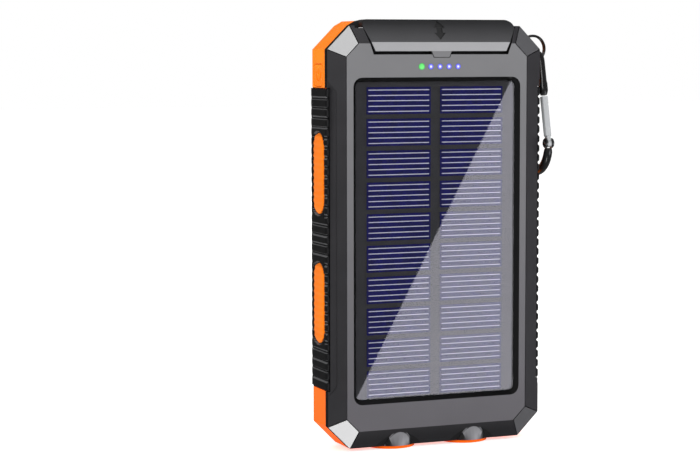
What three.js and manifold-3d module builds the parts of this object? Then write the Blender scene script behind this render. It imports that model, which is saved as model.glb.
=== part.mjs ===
// A solar phone charger with a flashlight end, a rubber port cover and a carabiner.
// Millimetres, +Z up. It stands on its flashlight end and the solar panel faces -Y.
// The origin is the middle of the flat end that it stands on. The heights below start near the shells' lower
// edge, and the whole charger is lifted by LIFT, because the flashlight bezels reach that far below it.
import * as THREE from 'three';
import { ConvexGeometry } from 'three/addons/geometries/ConvexGeometry.js';
import { mergeVertices } from 'three/addons/utils/BufferGeometryUtils.js';
import Module from 'manifold-3d';

const wasm = await Module();
wasm.setup();

// ---------------------------------------------------------------- driving dimensions
const BODY = { halfWidth: 39.3, bottom: 0.1, top: 141.8, corner: 7.9 }; // outline of shells and frame
const LIFT = 1; // how far the flashlight bezels stand out below
const FACE_Y = 10; // half the thickness, face to face
const EDGE_Y = 8; // where the bevel round each face starts
const BAND_Y = 5.6; // half the depth of the frame between the shells
const FACE_INSET = 5.95; // width of the bevel round each face
const REAR_TAPER = 1.1; // how far the rear shell's side wall leans in
const SHELL_WALL = 1.7;
const FRAME_WALL = 2.6;
const GAP = 0.3; // between pieces that only pass each other
const FIT = 0.2; // between pieces that sit in each other
const OVERSHOOT = 1; // how far a cutting tool runs past the face it cuts

const GRIP = { bottom: 20.2, top: 121, inner: 38.8, thickness: 0.9, halfDepth: 7.9 };
const PAD = { halfDepth: 4.8, proud: 40, spans: { upper: [79.1, 106.1], lower: [35.5, 62.5] } };

const PANEL = { halfWidth: 29.5, bottom: 16.3, top: 123.3, radius: 1.8, surfaceY: -8.4, floorY: -6.6 };
const PANEL_LIP = 1.3; // how far the sloping lip round the panel spreads to the face
const POCKET_WALL = 2.7;
const POCKET_FLOOR = 1.2;
const CELL = {
  columns: 2,
  rows: 10,
  width: 23.4,
  height: 9.1,
  pitchX: 26.9,
  pitchZ: 10.6,
  top: 121.4,
  thickness: 0.25,
  ribbon: 1,
};

const STATUS = { count: 5, firstX: -6.1, pitch: 3.35, z: 128.15, radius: 0.7, firstRadius: 0.95 };

const LIGHT = { x: 13.75, bulge: 9.6, boss: 8.7, bore: 7.4, depth: 9.4, bridge: 1.5 };

const COVER = {
  middle: 1.3,
  bottom: 133.3,
  crease: 136.3,
  halfWidthBottom: 24.1,
  halfWidthTop: 27.9,
  top: 143.9,
  rearTop: 142.1,
  underside: 141.3,
  backOfLip: -7.9,
  rear: 8.3,
};
const COVER_GAP = 1.1;
const COVER_SEAT = { halfWidth: 29.6, floor: 141 }; // the flat that the cover lies on
const SHOULDER = { top: 143.3, from: -28.6, to: -27.1, floor: 140.2 }; // the frame's corner beside the cover
const COVER_ANCHOR = { halfWidth: 20, from: 1.35, to: 3.6, under: 0.15, over: 1 };
const BAY = { halfWidth: 28.6, bottom: 130.3, top: 139.5, back: -6.4 }; // closes the shell behind the lip
const COVER_TAB = { halfTop: 3.8, halfBottom: 2.8, bottom: 131.3, back: -8.7 };

const SOCKET = { y: -0.7, bottom: 125, mouth: 140.6, wall: 0.4 };
const USB = { x: 14.5, halfWidth: 6.6, halfHeight: 2.9 };
const MICRO = { halfWidth: 3.8, halfHeight: 1.3, y: -2.3, bottom: 135 };
const BOARD = { front: -5, back: -3.8, halfWidth: 31, bottom: 117.6, top: 137.9 };

const BUTTON = { z: 125.4, halfHeight: 3.6, halfDepth: 4.1, radius: 1.6 };

const SCREW = { x: 29.5, z: [27, 114], post: 2.4, boss: 3.2, pilot: 1.05, shank: 0.95, head: 2, seatY: 7.8 };

const LEAD_RADIUS = 0.5;
const CELL_PACK = { halfWidth: 26.3, bottom: 23, top: 105, thickness: 5.2, frontY: -4.9, rearY: 1.2 };

const LEADS = {
  battery_lead: [[-8, -2.3, 108.5], [-8, -2.4, 111], [-8, -3.6, 114], [-8, -4.4, 117.2]],
  solar_lead: [[6, -6.6, 110], [6, -5.6, 110.2], [6, -4.4, 112.6], [6, -4.4, 117.2]],
  flashlight_lead: [
    [24, 0, 10.4],
    [30, 0, 13],
    [34, 0, 19],
    [34.4, 0, 60],
    [34.2, 0, 108],
    [32, -3.6, 118],
    [32, -4.4, 121],
  ],
};

const LINK_Y = -0.3; // the plane of the ring, and the middle of the carabiner
const RING = { x: 40.4, z: 134, inner: 4.1, outer: 4.9, halfThickness: 0.75 };
const PIN = { x: 37.3, z: 135.13, radius: 0.7, hole: 0.9, front: -4.6, rear: 5.3 };
const NOTCH = { left: 34.2, floor: 129, halfWidth: 1.4 };
const HOOK = { x: 41.9, section: 1.5, topZ: 129.1, topRadius: 3.1, bottomZ: 100.9, bottomRadius: 9.4 };
const GATE = {
  pivotAngle: 176,
  noseZ: 118.1,
  eye: 1.3,
  tang: 0.7,
  cheek: 1.7,
  pin: 0.5,
  hole: 0.6,
  bar: 1.15,
};

// ---------------------------------------------------------------- finishes
function finish(color, roughness, metalness = 0) {
  return new THREE.MeshStandardMaterial({ color, roughness, metalness });
}
const FINISH = {
  shell: finish(0x59595b, 0.5),
  frame: finish(0xff8a18, 0.45),
  rubber: finish(0x17181a, 0.7),
  cover: finish(0x3c3c3e, 0.6),
  clear: finish(0xdfe4ee, 0.1),
  cells: finish(0x141a4a, 0.3),
  circuit: finish(0x14502c, 0.6),
  green: finish(0x66e070, 0.3),
  blue: finish(0x6a74ff, 0.3),
  steel: finish(0xb8bcc0, 0.3, 1),
  chrome: finish(0xe4e6e8, 0.12, 1),
  black: finish(0x101010, 0.4),
  white: finish(0xf0efe8, 0.5),
  pouch: finish(0xa9adb2, 0.35, 0.6),
  foam: finish(0x2b2c30, 0.9),
  wire: finish(0xa02020, 0.5),
};

// ---------------------------------------------------------------- solids
const X = new THREE.Vector3(1, 0, 0);
const Y = new THREE.Vector3(0, 1, 0);
const Z = new THREE.Vector3(0, 0, 1);

function extrude(points, length, across, up, along) {
  const shape = new THREE.Shape(points.map(([a, b]) => new THREE.Vector2(a, b)));
  const geometry = new THREE.ExtrudeGeometry(shape, { depth: length, bevelEnabled: false });
  return geometry.applyMatrix4(new THREE.Matrix4().makeBasis(across, up, along));
}

// An (x, z) outline made solid from y0 to y1, a (y, z) one from x0 to x1, an (x, y) one from z0 to z1.
function slabY(points, y0, y1) {
  return extrude(points, y1 - y0, X, Z, Y.clone().negate()).translate(0, y1, 0);
}
function slabX(points, x0, x1) {
  return extrude(points, x1 - x0, Y, Z, X).translate(x0, 0, 0);
}
function slabZ(points, z0, z1) {
  return extrude(points, z1 - z0, X, Y, Z).translate(0, 0, z0);
}

function box(x0, x1, y0, y1, z0, z1) {
  const geometry = new THREE.BoxGeometry(x1 - x0, y1 - y0, z1 - z0);
  return geometry.translate((x0 + x1) / 2, (y0 + y1) / 2, (z0 + z1) / 2);
}

function rodX(radius, x0, x1, y, z, sides = 16) {
  const rod = new THREE.CylinderGeometry(radius, radius, x1 - x0, sides).rotateZ(Math.PI / 2);
  return rod.translate((x0 + x1) / 2, y, z);
}
function rodY(radius, x, y0, y1, z, sides = 16) {
  return new THREE.CylinderGeometry(radius, radius, y1 - y0, sides).translate(x, (y0 + y1) / 2, z);
}
function rodZ(radius, x, y, z0, z1, sides = 32) {
  const rod = new THREE.CylinderGeometry(radius, radius, z1 - z0, sides).rotateX(Math.PI / 2);
  return rod.translate(x, y, (z0 + z1) / 2);
}

// The body's eight-sided outline, moved in by an inset or out by a negative one.
function bodyOutline(inset) {
  const x = BODY.halfWidth - inset;
  const low = BODY.bottom + inset;
  const high = BODY.top - inset;
  const c = BODY.corner - inset * (2 - Math.SQRT2);
  const right = [[x - c, low], [x, low + c], [x, high - c], [x - c, high]];
  const left = right.map(([a, b]) => [-a, b]).reverse();
  return [...right, ...left];
}

function roundedRectangle(a0, a1, b0, b1, radius, steps = 4) {
  const corners = [[a1, b0, -90], [a1, b1, 0], [a0, b1, 90], [a0, b0, 180]];
  return corners.flatMap(([a, b, from]) => {
    const ca = a === a1 ? a1 - radius : a0 + radius;
    const cb = b === b1 ? b1 - radius : b0 + radius;
    return Array.from({ length: steps + 1 }, (_, i) => {
      const angle = THREE.MathUtils.degToRad(from + (90 * i) / steps);
      return [ca + radius * Math.cos(angle), cb + radius * Math.sin(angle)];
    });
  });
}

function ringPoints(radius, sides) {
  return Array.from({ length: sides }, (_, i) => {
    const angle = (2 * Math.PI * i) / sides;
    return new THREE.Vector2(radius * Math.cos(angle), radius * Math.sin(angle));
  });
}

const atY = (points, y) => points.map(([x, z]) => new THREE.Vector3(x, y, z));
const hull = (...rings) => new ConvexGeometry(rings.flat());

function solid(shape) {
  if (shape instanceof wasm.Manifold) return shape;
  shape.deleteAttribute('normal');
  shape.deleteAttribute('uv');
  const merged = mergeVertices(shape);
  const vertProperties = new Float32Array(merged.attributes.position.array);
  const triVerts = new Uint32Array(merged.index.array);
  return new wasm.Manifold(new wasm.Mesh({ numProp: 3, vertProperties, triVerts }));
}
const join = (first, ...rest) => rest.reduce((sum, piece) => sum.add(solid(piece)), solid(first));
const cut = (first, ...rest) => rest.reduce((left, tool) => left.subtract(solid(tool)), solid(first));
const overlap = (a, b) => solid(a).intersect(solid(b));

function geometryOf(shape) {
  const mesh = solid(shape).getMesh();
  const geometry = new THREE.BufferGeometry();
  geometry.setAttribute('position', new THREE.BufferAttribute(new Float32Array(mesh.vertProperties), 3));
  geometry.setIndex(new THREE.BufferAttribute(new Uint32Array(mesh.triVerts), 1));
  return geometry;
}

function add(group, name, shape, material) {
  const mesh = new THREE.Mesh(geometryOf(shape), material);
  mesh.name = name;
  group.add(mesh);
  return mesh;
}

const charger = new THREE.Group();
function section() {
  const group = new THREE.Group();
  charger.add(group);
  return group;
}

const SIDES = { left: -1, right: 1 };
const statusPlaces = Array.from({ length: STATUS.count }, (_, i) => STATUS.firstX + i * STATUS.pitch);

// ---------------------------------------------------------------- case
function panelPocket() {
  const { halfWidth: w, bottom, top, radius, surfaceY, floorY } = PANEL;
  const depth = FACE_Y + surfaceY;
  const spread = PANEL_LIP * (1 + OVERSHOOT / depth);
  const low = roundedRectangle(-w, w, bottom, top, radius);
  const wide = roundedRectangle(-w - spread, w + spread, bottom - spread, top + spread, radius + spread);
  const lip = hull(atY(low, surfaceY), atY(wide, -FACE_Y - OVERSHOOT));
  return join(lip, slabY(low, surfaceY - GAP, floorY));
}

// The trapezium that the port cover fills, grown by an allowance all round.
function coverOutline(grow) {
  const { middle, bottom, top, halfWidthBottom, halfWidthTop } = COVER;
  const slope = (halfWidthTop - halfWidthBottom) / (top - bottom);
  const reach = top + 3;
  const low = halfWidthBottom + grow - slope * grow;
  const high = halfWidthBottom + grow + slope * (reach - bottom);
  return [
    [middle - low, bottom - grow],
    [middle + low, bottom - grow],
    [middle + high, reach],
    [middle - high, reach],
  ];
}

function tabOutline(grow) {
  const { halfTop, halfBottom, bottom } = COVER_TAB;
  const [top, low] = [COVER.bottom + GAP, bottom - grow];
  const [wide, narrow] = [halfTop + grow, halfBottom + grow];
  const { middle } = COVER;
  return [[middle - narrow, low], [middle + narrow, low], [middle + wide, top], [middle - wide, top]];
}

// A half shell's outside: side wall, bevel and face, with the two flashlight bulges in its bottom end.
function shellOutside(sign) {
  const edge = bodyOutline(0);
  const outside = hull(
    atY(edge, sign * BAND_Y),
    atY(bodyOutline(sign > 0 ? REAR_TAPER : 0), sign * EDGE_Y),
    atY(bodyOutline(FACE_INSET), sign * FACE_Y),
  );
  const keep = [sign * BAND_Y, sign * FACE_Y].sort((a, b) => a - b);
  const side = box(-BODY.halfWidth, BODY.halfWidth, ...keep, BODY.bottom, BODY.top);
  const bulges = Object.values(SIDES).map((s) =>
    overlap(rodZ(LIGHT.bulge, s * LIGHT.x, 0, BODY.bottom, LIGHT.depth, 48), side),
  );
  return join(outside, ...bulges);
}

// What both shells leave free: the seats of the side grips and the flat under the cover.
function seats() {
  const reach = BODY.halfWidth + OVERSHOOT;
  const grips = Object.values(SIDES).map((s) => {
    const [x0, x1] = [s * (GRIP.inner - GAP), s * reach].sort((a, b) => a - b);
    const y = GRIP.halfDepth + GAP;
    return box(x0, x1, -y, y, GRIP.bottom - GAP, GRIP.top + GAP);
  });
  const { halfWidth, floor } = COVER_SEAT;
  const y = FACE_Y + OVERSHOOT;
  return [...grips, box(-halfWidth, halfWidth, -y, y, floor, BODY.top + OVERSHOOT)];
}

function lightBores() {
  return Object.values(SIDES).map((s) =>
    rodZ(LIGHT.boss + FIT, s * LIGHT.x, 0, BODY.bottom - OVERSHOOT, LIGHT.depth + FIT, 48),
  );
}

function screwPlaces() {
  return SCREW.z.flatMap((z) => Object.values(SIDES).map((s) => [s * SCREW.x, z]));
}

function frontShell() {
  const { halfWidth, bottom, top, floorY } = PANEL;
  const w = halfWidth + POCKET_WALL;
  const insideY = -FACE_Y + SHELL_WALL;
  const pocketBack = floorY + POCKET_FLOOR;
  const hollow = slabY(bodyOutline(SHELL_WALL), insideY, -BAND_Y + OVERSHOOT);
  const pocketBlock = box(-w, w, insideY - GAP, pocketBack, bottom - POCKET_WALL, top + POCKET_WALL);
  const leadHole = box(4, 8, floorY - GAP, pocketBack + GAP, 108.5, 113.5);
  const posts = screwPlaces().map(([x, z]) => rodY(SCREW.post, x, pocketBack - GAP, 6.7, z));
  const pilots = screwPlaces().map(([x, z]) => rodY(SCREW.pilot, x, -1, 7, z));
  const statusHoles = statusPlaces.map((x, i) =>
    rodY((i ? STATUS.radius : STATUS.firstRadius) + 0.1, x, -FACE_Y - OVERSHOOT, insideY + GAP, STATUS.z),
  );
  const coverRecess = slabY(coverOutline(COVER_GAP), -FACE_Y - OVERSHOOT, COVER.backOfLip + GAP);
  const tabRecess = slabY(tabOutline(FIT), -FACE_Y - OVERSHOOT, COVER_TAB.back + FIT);
  const bay = box(-BAY.halfWidth, BAY.halfWidth, insideY - GAP, BAY.back, BAY.bottom, BAY.top);
  const tray = join(cut(shellOutside(-1), hollow), pocketBlock, bay, ...posts);
  const openings = [panelPocket(), leadHole, ...pilots, ...statusHoles, coverRecess, tabRecess];
  return cut(tray, ...openings, ...lightBores(), ...seats());
}

function rearShell() {
  const insideY = FACE_Y - SHELL_WALL;
  const hollow = slabY(bodyOutline(SHELL_WALL + REAR_TAPER), BAND_Y - OVERSHOOT, insideY);
  const bosses = screwPlaces().map(([x, z]) => rodY(SCREW.boss, x, 7, insideY + GAP, z));
  const heads = screwPlaces().map(([x, z]) => rodY(SCREW.head + FIT, x, SCREW.seatY, FACE_Y + OVERSHOOT, z));
  const holes = screwPlaces().map(([x, z]) => rodY(SCREW.shank + FIT, x, 6.5, FACE_Y, z));
  const lid = join(cut(shellOutside(1), hollow), ...bosses);
  return cut(lid, ...heads, ...holes, ...lightBores(), ...seats());
}

function buttonOutline(grow) {
  const { z, halfHeight, halfDepth, radius } = BUTTON;
  return roundedRectangle(
    -halfDepth - grow, halfDepth + grow, z - halfHeight - grow, z + halfHeight + grow, radius + grow,
  );
}

function midFrame() {
  const outside = slabY(bodyOutline(0), -BAND_Y, BAND_Y);
  const inside = slabY(bodyOutline(FRAME_WALL), -BAND_Y - OVERSHOOT, BAND_Y + OVERSHOOT);
  const side = BODY.halfWidth;
  const high = BODY.top;
  const { x: lightX, boss, bore, depth, bridge } = LIGHT;
  const bosses = Object.values(SIDES).map((s) => rodZ(boss, s * lightX, 0, -LIFT, depth, 48));
  const bores = Object.values(SIDES).map((s) => rodZ(bore, s * lightX, 0, -LIFT - 1, depth + 1, 40));
  const foot = box(-lightX, lightX, -bridge, bridge, -LIFT, BODY.bottom + 1);
  const usbHoles = Object.values(SIDES).map((s) => {
    const [w, h] = [USB.halfWidth + GAP, USB.halfHeight + GAP];
    return box(s * USB.x - w, s * USB.x + w, SOCKET.y - h, SOCKET.y + h, 137, high);
  });
  const [w, h] = [MICRO.halfWidth + GAP, MICRO.halfHeight + GAP];
  const microHole = box(-w, w, MICRO.y - h, MICRO.y + h, 137, high);
  const buttonHole = slabX(buttonOutline(FIT), -side - OVERSHOOT, -side + FRAME_WALL + OVERSHOOT);
  const corner = overlap(box(32.6, side, -BAND_Y, BAND_Y, 126.6, high), outside);
  const notch = box(
    NOTCH.left, side + 1, LINK_Y - NOTCH.halfWidth, LINK_Y + NOTCH.halfWidth, NOTCH.floor, high + 1,
  );
  const pinHole = rodY(PIN.hole, PIN.x, PIN.front - FIT, BAND_Y + OVERSHOOT, PIN.z);
  const shoulder = slabY([
    [BODY.corner - side, BODY.top],
    [BODY.corner - side, SHOULDER.floor],
    [SHOULDER.to, SHOULDER.floor],
    [SHOULDER.to, SHOULDER.top],
    [SHOULDER.from, SHOULDER.top],
  ], -BAND_Y, BAND_Y);
  const ring = join(cut(outside, inside), corner, foot, ...bosses);
  const seated = join(cut(ring, ...seats()), shoulder);
  return cut(seated, ...bores, ...usbHoles, microHole, buttonHole, notch, pinHole);
}

function grip() {
  const { bottom, top, inner, halfDepth } = GRIP;
  const plate = slabX(roundedRectangle(-halfDepth, halfDepth, bottom, top, 0.8, 2), 0, GRIP.thickness);
  const windows = Object.values(PAD.spans).map(([z0, z1]) => {
    const w = PAD.halfDepth + FIT;
    return slabX(roundedRectangle(-w, w, z0 - FIT, z1 + FIT, w, 6), -1, 2);
  });
  return cut(plate, ...windows).translate([inner, 0, 0]);
}

function gripPad(z0, z1) {
  const w = PAD.halfDepth;
  return slabX(roundedRectangle(-w, w, 0, z1 - z0, w, 6), GRIP.inner, PAD.proud);
}

function caseParts() {
  const group = section();
  add(group, 'front_shell', frontShell(), FINISH.shell);
  add(group, 'rear_shell', rearShell(), FINISH.shell);
  add(group, 'mid_frame', midFrame(), FINISH.frame);
  for (const [side, sign] of Object.entries(SIDES)) {
    const turned = new THREE.Group();
    turned.rotation.z = sign < 0 ? Math.PI : 0;
    group.add(turned);
    add(turned, `${side}_grip`, grip(), FINISH.rubber);
    for (const [place, [z0, z1]] of Object.entries(PAD.spans)) {
      add(turned, `${side}_grip_pad_${place}`, gripPad(z0, z1), FINISH.frame).position.z = z0;
    }
  }
  screwPlaces().forEach(([x, z], i) => {
    const head = rodY(SCREW.head, 0, SCREW.seatY + 0.1, SCREW.seatY + 1.5, 0);
    const socket = box(-0.35, 0.35, SCREW.seatY + 0.9, FACE_Y, -1.3, 1.3);
    const cross = box(-1.3, 1.3, SCREW.seatY + 0.9, FACE_Y, -0.35, 0.35);
    const screw = join(cut(head, socket, cross), rodY(SCREW.shank, 0, 0, SCREW.seatY + GAP, 0, 12));
    add(group, `case_screw_${i + 1}`, screw, FINISH.steel).position.set(x, 0, z);
  });
}

// ---------------------------------------------------------------- port cover
function coverSection() {
  const { bottom, crease, top, rearTop, underside, backOfLip, rear } = COVER;
  const front = [[backOfLip, bottom], [-FACE_Y, bottom], [-FACE_Y, crease]];
  const crown = [[-8.9, 139.9], [-7.5, 142.4], [-5.4, top], [-1.5, top - 0.1], [3, top - 0.8]];
  return [...front, ...crown, [rear, rearTop], [rear, underside], [backOfLip, underside]];
}

function portCover() {
  const { middle, halfWidthTop: w } = COVER;
  const bar = slabX(coverSection(), middle - w, middle + w);
  const wrap = overlap(bar, slabY(coverOutline(0), -FACE_Y - 1, FACE_Y + 1));
  const tab = slabY(tabOutline(0), -FACE_Y, COVER_TAB.back);
  const plugFoot = SOCKET.mouth - 0.6;
  const usbPlugs = Object.values(SIDES).map((s) =>
    box(s * USB.x - 5.8, s * USB.x + 5.8, SOCKET.y - 2, SOCKET.y + 2, plugFoot, COVER.underside + GAP),
  );
  const microPlug = box(-2.9, 2.9, MICRO.y - 0.5, MICRO.y + 0.5, plugFoot, COVER.underside + GAP);
  return join(wrap, tab, ...usbPlugs, microPlug);
}

// The anchored end of the cover's strap, lying on the rear bevel.
function coverAnchor() {
  const run = FACE_Y - EDGE_Y;
  const length = Math.hypot(run, FACE_INSET);
  const [alongY, alongZ] = [run / length, -FACE_INSET / length];
  const place = (along, out) => [
    EDGE_Y + alongY * along - alongZ * out,
    BODY.top + alongZ * along + alongY * out,
  ];
  const { halfWidth, from, to, under, over } = COVER_ANCHOR;
  const outline = [place(from, under), place(to, under), place(to, over), place(from, over)];
  return slabX(outline, -halfWidth, halfWidth);
}

function coverParts() {
  const group = section();
  add(group, 'port_cover', portCover(), FINISH.cover);
  add(group, 'port_cover_anchor', coverAnchor(), FINISH.cover);
}

// ---------------------------------------------------------------- solar panel and status lights
function cellString() {
  const { columns, rows, width, height, pitchX, pitchZ, top, thickness, ribbon } = CELL;
  const pieces = [];
  for (let column = 0; column < columns; column += 1) {
    const x = (column - (columns - 1) / 2) * pitchX;
    for (let row = 0; row < rows; row += 1) {
      const high = top - row * pitchZ;
      pieces.push(box(x - width / 2, x + width / 2, 0, thickness, high - height, high));
      const next = high + pitchZ - height + ribbon;
      if (row) pieces.push(box(x - ribbon, x + ribbon, 0, thickness, high - ribbon, next));
    }
  }
  const lowest = top - (rows - 1) * pitchZ - height;
  const reach = pitchX / 2;
  pieces.push(box(-reach, reach, 0, thickness, lowest + ribbon, lowest + 3 * ribbon));
  return join(...pieces);
}

function solarParts() {
  const group = section();
  const w = PANEL.halfWidth - FIT;
  const outline = roundedRectangle(-w, w, PANEL.bottom + FIT, PANEL.top - FIT, PANEL.radius - FIT);
  const { surfaceY } = PANEL;
  add(group, 'solar_cover_sheet', slabY(outline, surfaceY, surfaceY + 0.5), FINISH.clear);
  add(group, 'solar_cell_string', cellString(), FINISH.cells).position.y = surfaceY + 0.6;
  add(group, 'solar_backing_board', slabY(outline, surfaceY + 0.95, surfaceY + 1.65), FINISH.circuit);
  statusPlaces.forEach((x, i) => {
    const pipe = rodY(i ? STATUS.radius : STATUS.firstRadius, 0, -FACE_Y, -6.2, 0);
    const lens = add(group, `status_light_pipe_${i + 1}`, pipe, i ? FINISH.blue : FINISH.green);
    lens.position.set(x, 0, STATUS.z);
  });
}

// ---------------------------------------------------------------- flashlight
function reflector() {
  const bottom = 1.6;
  const profile = [[2.3, 7.2], [2.9, 7.2], [7.2, bottom + 0.6], [7.2, bottom], [6.7, bottom]];
  const steps = 5;
  for (let i = 1; i <= steps; i += 1) {
    const t = i / steps;
    profile.push([6.7 - 4.4 * t, bottom + 5.2 * t * t]);
  }
  profile.push([2.3, 7.2]);
  const points = profile.map(([r, z]) => new THREE.Vector2(r, z)).reverse();
  return new THREE.LatheGeometry(points, 32).rotateX(Math.PI / 2);
}

function flashlightParts() {
  const group = section();
  for (const [side, sign] of Object.entries(SIDES)) {
    const torch = new THREE.Group();
    torch.position.x = sign * LIGHT.x;
    group.add(torch);
    const lens = join(rodZ(7.1, 0, 0, 0.4, 1.3), rodZ(5.5, 0, 0, 0.15, 0.5));
    add(torch, `flashlight_lens_${side}`, lens, FINISH.clear);
    add(torch, `flashlight_reflector_${side}`, reflector(), FINISH.chrome);
    const emitter = join(box(-2.5, 2.5, -2.5, 2.5, 8.2, 9.5), rodZ(1.6, 0, 0, 7.3, 8.4, 16));
    add(torch, `flashlight_led_${side}`, emitter, FINISH.white);
  }
  add(group, 'flashlight_board', box(-23, 23, -5.4, 5.4, 9.7, 10.9), FINISH.circuit);
}

// ---------------------------------------------------------------- electronics
function usbSocket() {
  const { wall, bottom, mouth } = SOCKET;
  const [w, h] = [USB.halfWidth, USB.halfHeight];
  const inside = box(wall - w, w - wall, wall - h, h - wall, bottom + 0.5, mouth + 1);
  return cut(box(-w, w, -h, h, bottom, mouth), inside);
}

function usbTongue() {
  return join(box(-5.9, 5.9, -2.2, 2.2, 125.8, 130), box(-5.5, 5.5, -2.1, -0.3, 129, 139.3));
}

function microSocket() {
  const [w, h] = [MICRO.halfWidth, MICRO.halfHeight];
  const { wall, mouth } = SOCKET;
  const shell = box(-w, w, -h, h, MICRO.bottom, mouth);
  return cut(shell, box(wall - w, w - wall, wall - h, h - wall, MICRO.bottom + 0.6, mouth + 1));
}

function mainBoard() {
  const { front, back, halfWidth, bottom, top } = BOARD;
  const sheet = box(-halfWidth, halfWidth, front, back, bottom, top);
  const leds = statusPlaces.map((x) =>
    box(x - 0.8, x + 0.8, front - 0.9, front + 0.3, STATUS.z - 0.4, STATUS.z + 0.4),
  );
  const resistors = Array.from({ length: 6 }, (_, i) =>
    box(4 + i * 2, 5 + i * 2, back - 0.2, back + 0.6, 119, 121),
  );
  return join(sheet, ...leds, ...resistors);
}

function electronicsParts() {
  const group = section();
  const above = BOARD.back + FIT;
  add(group, 'main_board', mainBoard(), FINISH.circuit);
  for (const [side, sign] of Object.entries(SIDES)) {
    const port = new THREE.Group();
    port.position.set(sign * USB.x, SOCKET.y, 0);
    group.add(port);
    add(port, `usb_socket_${side}`, usbSocket(), FINISH.steel);
    add(port, `usb_tongue_${side}`, usbTongue(), FINISH.black);
  }
  add(group, 'micro_usb_socket', microSocket(), FINISH.steel).position.y = MICRO.y;
  add(group, 'boost_inductor', rodY(4, 26, above, above + 4, 125, 16), FINISH.black);
  add(group, 'controller_chip', box(-3.5, 1.5, above, above + 0.9, 120, 125), FINISH.black);
  add(group, 'output_capacitor', rodY(2.5, -25, above, above + 5.5, 132, 16), FINISH.pouch);
  add(group, 'power_switch_body', switchBody(), FINISH.black);
}

function pouchCell() {
  const { halfWidth: w, bottom, top, thickness } = CELL_PACK;
  const body = slabZ(roundedRectangle(-w, w, 0, thickness, 1.2, 3), bottom, top);
  const seal = box(2 - w, w - 2, thickness / 2 - 0.4, thickness / 2 + 0.4, top - 1, top + 3);
  return join(body, seal);
}

// A sleeved two-wire lead along a hand-laid route of points.
function lead(route) {
  const path = new THREE.CatmullRomCurve3(route.map((p) => new THREE.Vector3(...p)));
  const sleeve = new THREE.Shape(ringPoints(LEAD_RADIUS, 8));
  const steps = 4 * (route.length - 1);
  return new THREE.ExtrudeGeometry(sleeve, { steps, extrudePath: path, bevelEnabled: false });
}

function batteryParts() {
  const group = section();
  const { frontY, rearY, thickness } = CELL_PACK;
  add(group, 'battery_cell_front', pouchCell(), FINISH.pouch).position.y = frontY;
  add(group, 'battery_cell_rear', pouchCell(), FINISH.pouch).position.y = rearY;
  const adhesive = box(-20, 20, frontY + thickness + FIT, rearY - FIT, 35, 93);
  add(group, 'battery_adhesive_pad', adhesive, FINISH.foam);
  const foam = box(-20, 20, rearY + thickness + FIT, FACE_Y - SHELL_WALL - FIT, 40, 88);
  add(group, 'rear_foam_pad', foam, FINISH.foam);
  for (const [name, route] of Object.entries(LEADS)) add(group, name, lead(route), FINISH.wire);
}

// ---------------------------------------------------------------- power button
function switchBody() {
  const y0 = BOARD.back + FIT;
  const socket = rodX(1.2, -34, -31.8, 0, BUTTON.z);
  return cut(box(-33, -29.4, y0, 2.6, BUTTON.z - 3, BUTTON.z + 3), socket);
}

function powerButton() {
  const face = -BODY.halfWidth;
  const inner = face + FRAME_WALL;
  const cap = slabX(buttonOutline(0), face, inner + 0.4);
  const flange = slabX(buttonOutline(0.8), inner + GAP, inner + 0.9);
  const stem = rodX(1.2, inner + 0.5, -34.3, 0, BUTTON.z);
  return join(cap, flange, stem);
}

function buttonParts() {
  const group = section();
  add(group, 'power_button', powerButton(), FINISH.frame);
  add(group, 'power_switch_plunger', rodX(1, -34.1, -32.5, 0, BUTTON.z), FINISH.white);
}

// ---------------------------------------------------------------- lanyard pin, ring and carabiner
function splitRing() {
  const { inner, outer, halfThickness: t } = RING;
  return cut(rodY(outer, 0, -t, t, 0, 32), rodY(inner, 0, -t - 1, t + 1, 0, 32));
}

const HOOK_LEAN = Math.asin((HOOK.bottomRadius - HOOK.topRadius) / (HOOK.topZ - HOOK.bottomZ));
const hookPoint = (centreZ, radius, angle) =>
  new THREE.Vector3(0, radius * Math.cos(angle), centreZ + radius * Math.sin(angle));

function arcPoints(centreZ, radius, from, to, steps) {
  const step = (to - from) / steps;
  return Array.from({ length: steps + 1 }, (_, i) => hookPoint(centreZ, radius, from + step * i));
}

// The straight front side of the pear shape, which the gate closes, at a height z.
const frontTop = hookPoint(HOOK.topZ, HOOK.topRadius, Math.PI - HOOK_LEAN);
const frontBottom = hookPoint(HOOK.bottomZ, HOOK.bottomRadius, Math.PI - HOOK_LEAN);
function frontAt(z) {
  const t = (frontTop.z - z) / (frontTop.z - frontBottom.z);
  return new THREE.Vector3().lerpVectors(frontTop, frontBottom, t);
}
const pivot = hookPoint(HOOK.bottomZ, HOOK.bottomRadius, THREE.MathUtils.degToRad(GATE.pivotAngle));

function hookBody() {
  const start = THREE.MathUtils.degToRad(GATE.pivotAngle + 10);
  const points = [
    ...arcPoints(HOOK.bottomZ, HOOK.bottomRadius, start, 2 * Math.PI + HOOK_LEAN, 12),
    ...arcPoints(HOOK.topZ, HOOK.topRadius, HOOK_LEAN, Math.PI - HOOK_LEAN, 8),
    frontAt(GATE.noseZ),
  ];
  const r = HOOK.section;
  const smooth = new THREE.CatmullRomCurve3(points, false, 'centripetal');
  const round = new THREE.Shape(ringPoints(r, 10));
  const rod = new THREE.ExtrudeGeometry(round, { steps: 44, extrudePath: smooth, bevelEnabled: false });
  const cheeks = rodX(GATE.cheek, -r, r, pivot.y, pivot.z, 20);
  const half = GATE.tang + FIT;
  const slot = box(-half, half, pivot.y - 2.6, pivot.y + 2.6, pivot.z - 1.7, pivot.z + 3);
  const hole = rodX(GATE.hole, -r - 1, r + 1, pivot.y, pivot.z, 12);
  return cut(join(rod, cheeks), slot, hole);
}

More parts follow.
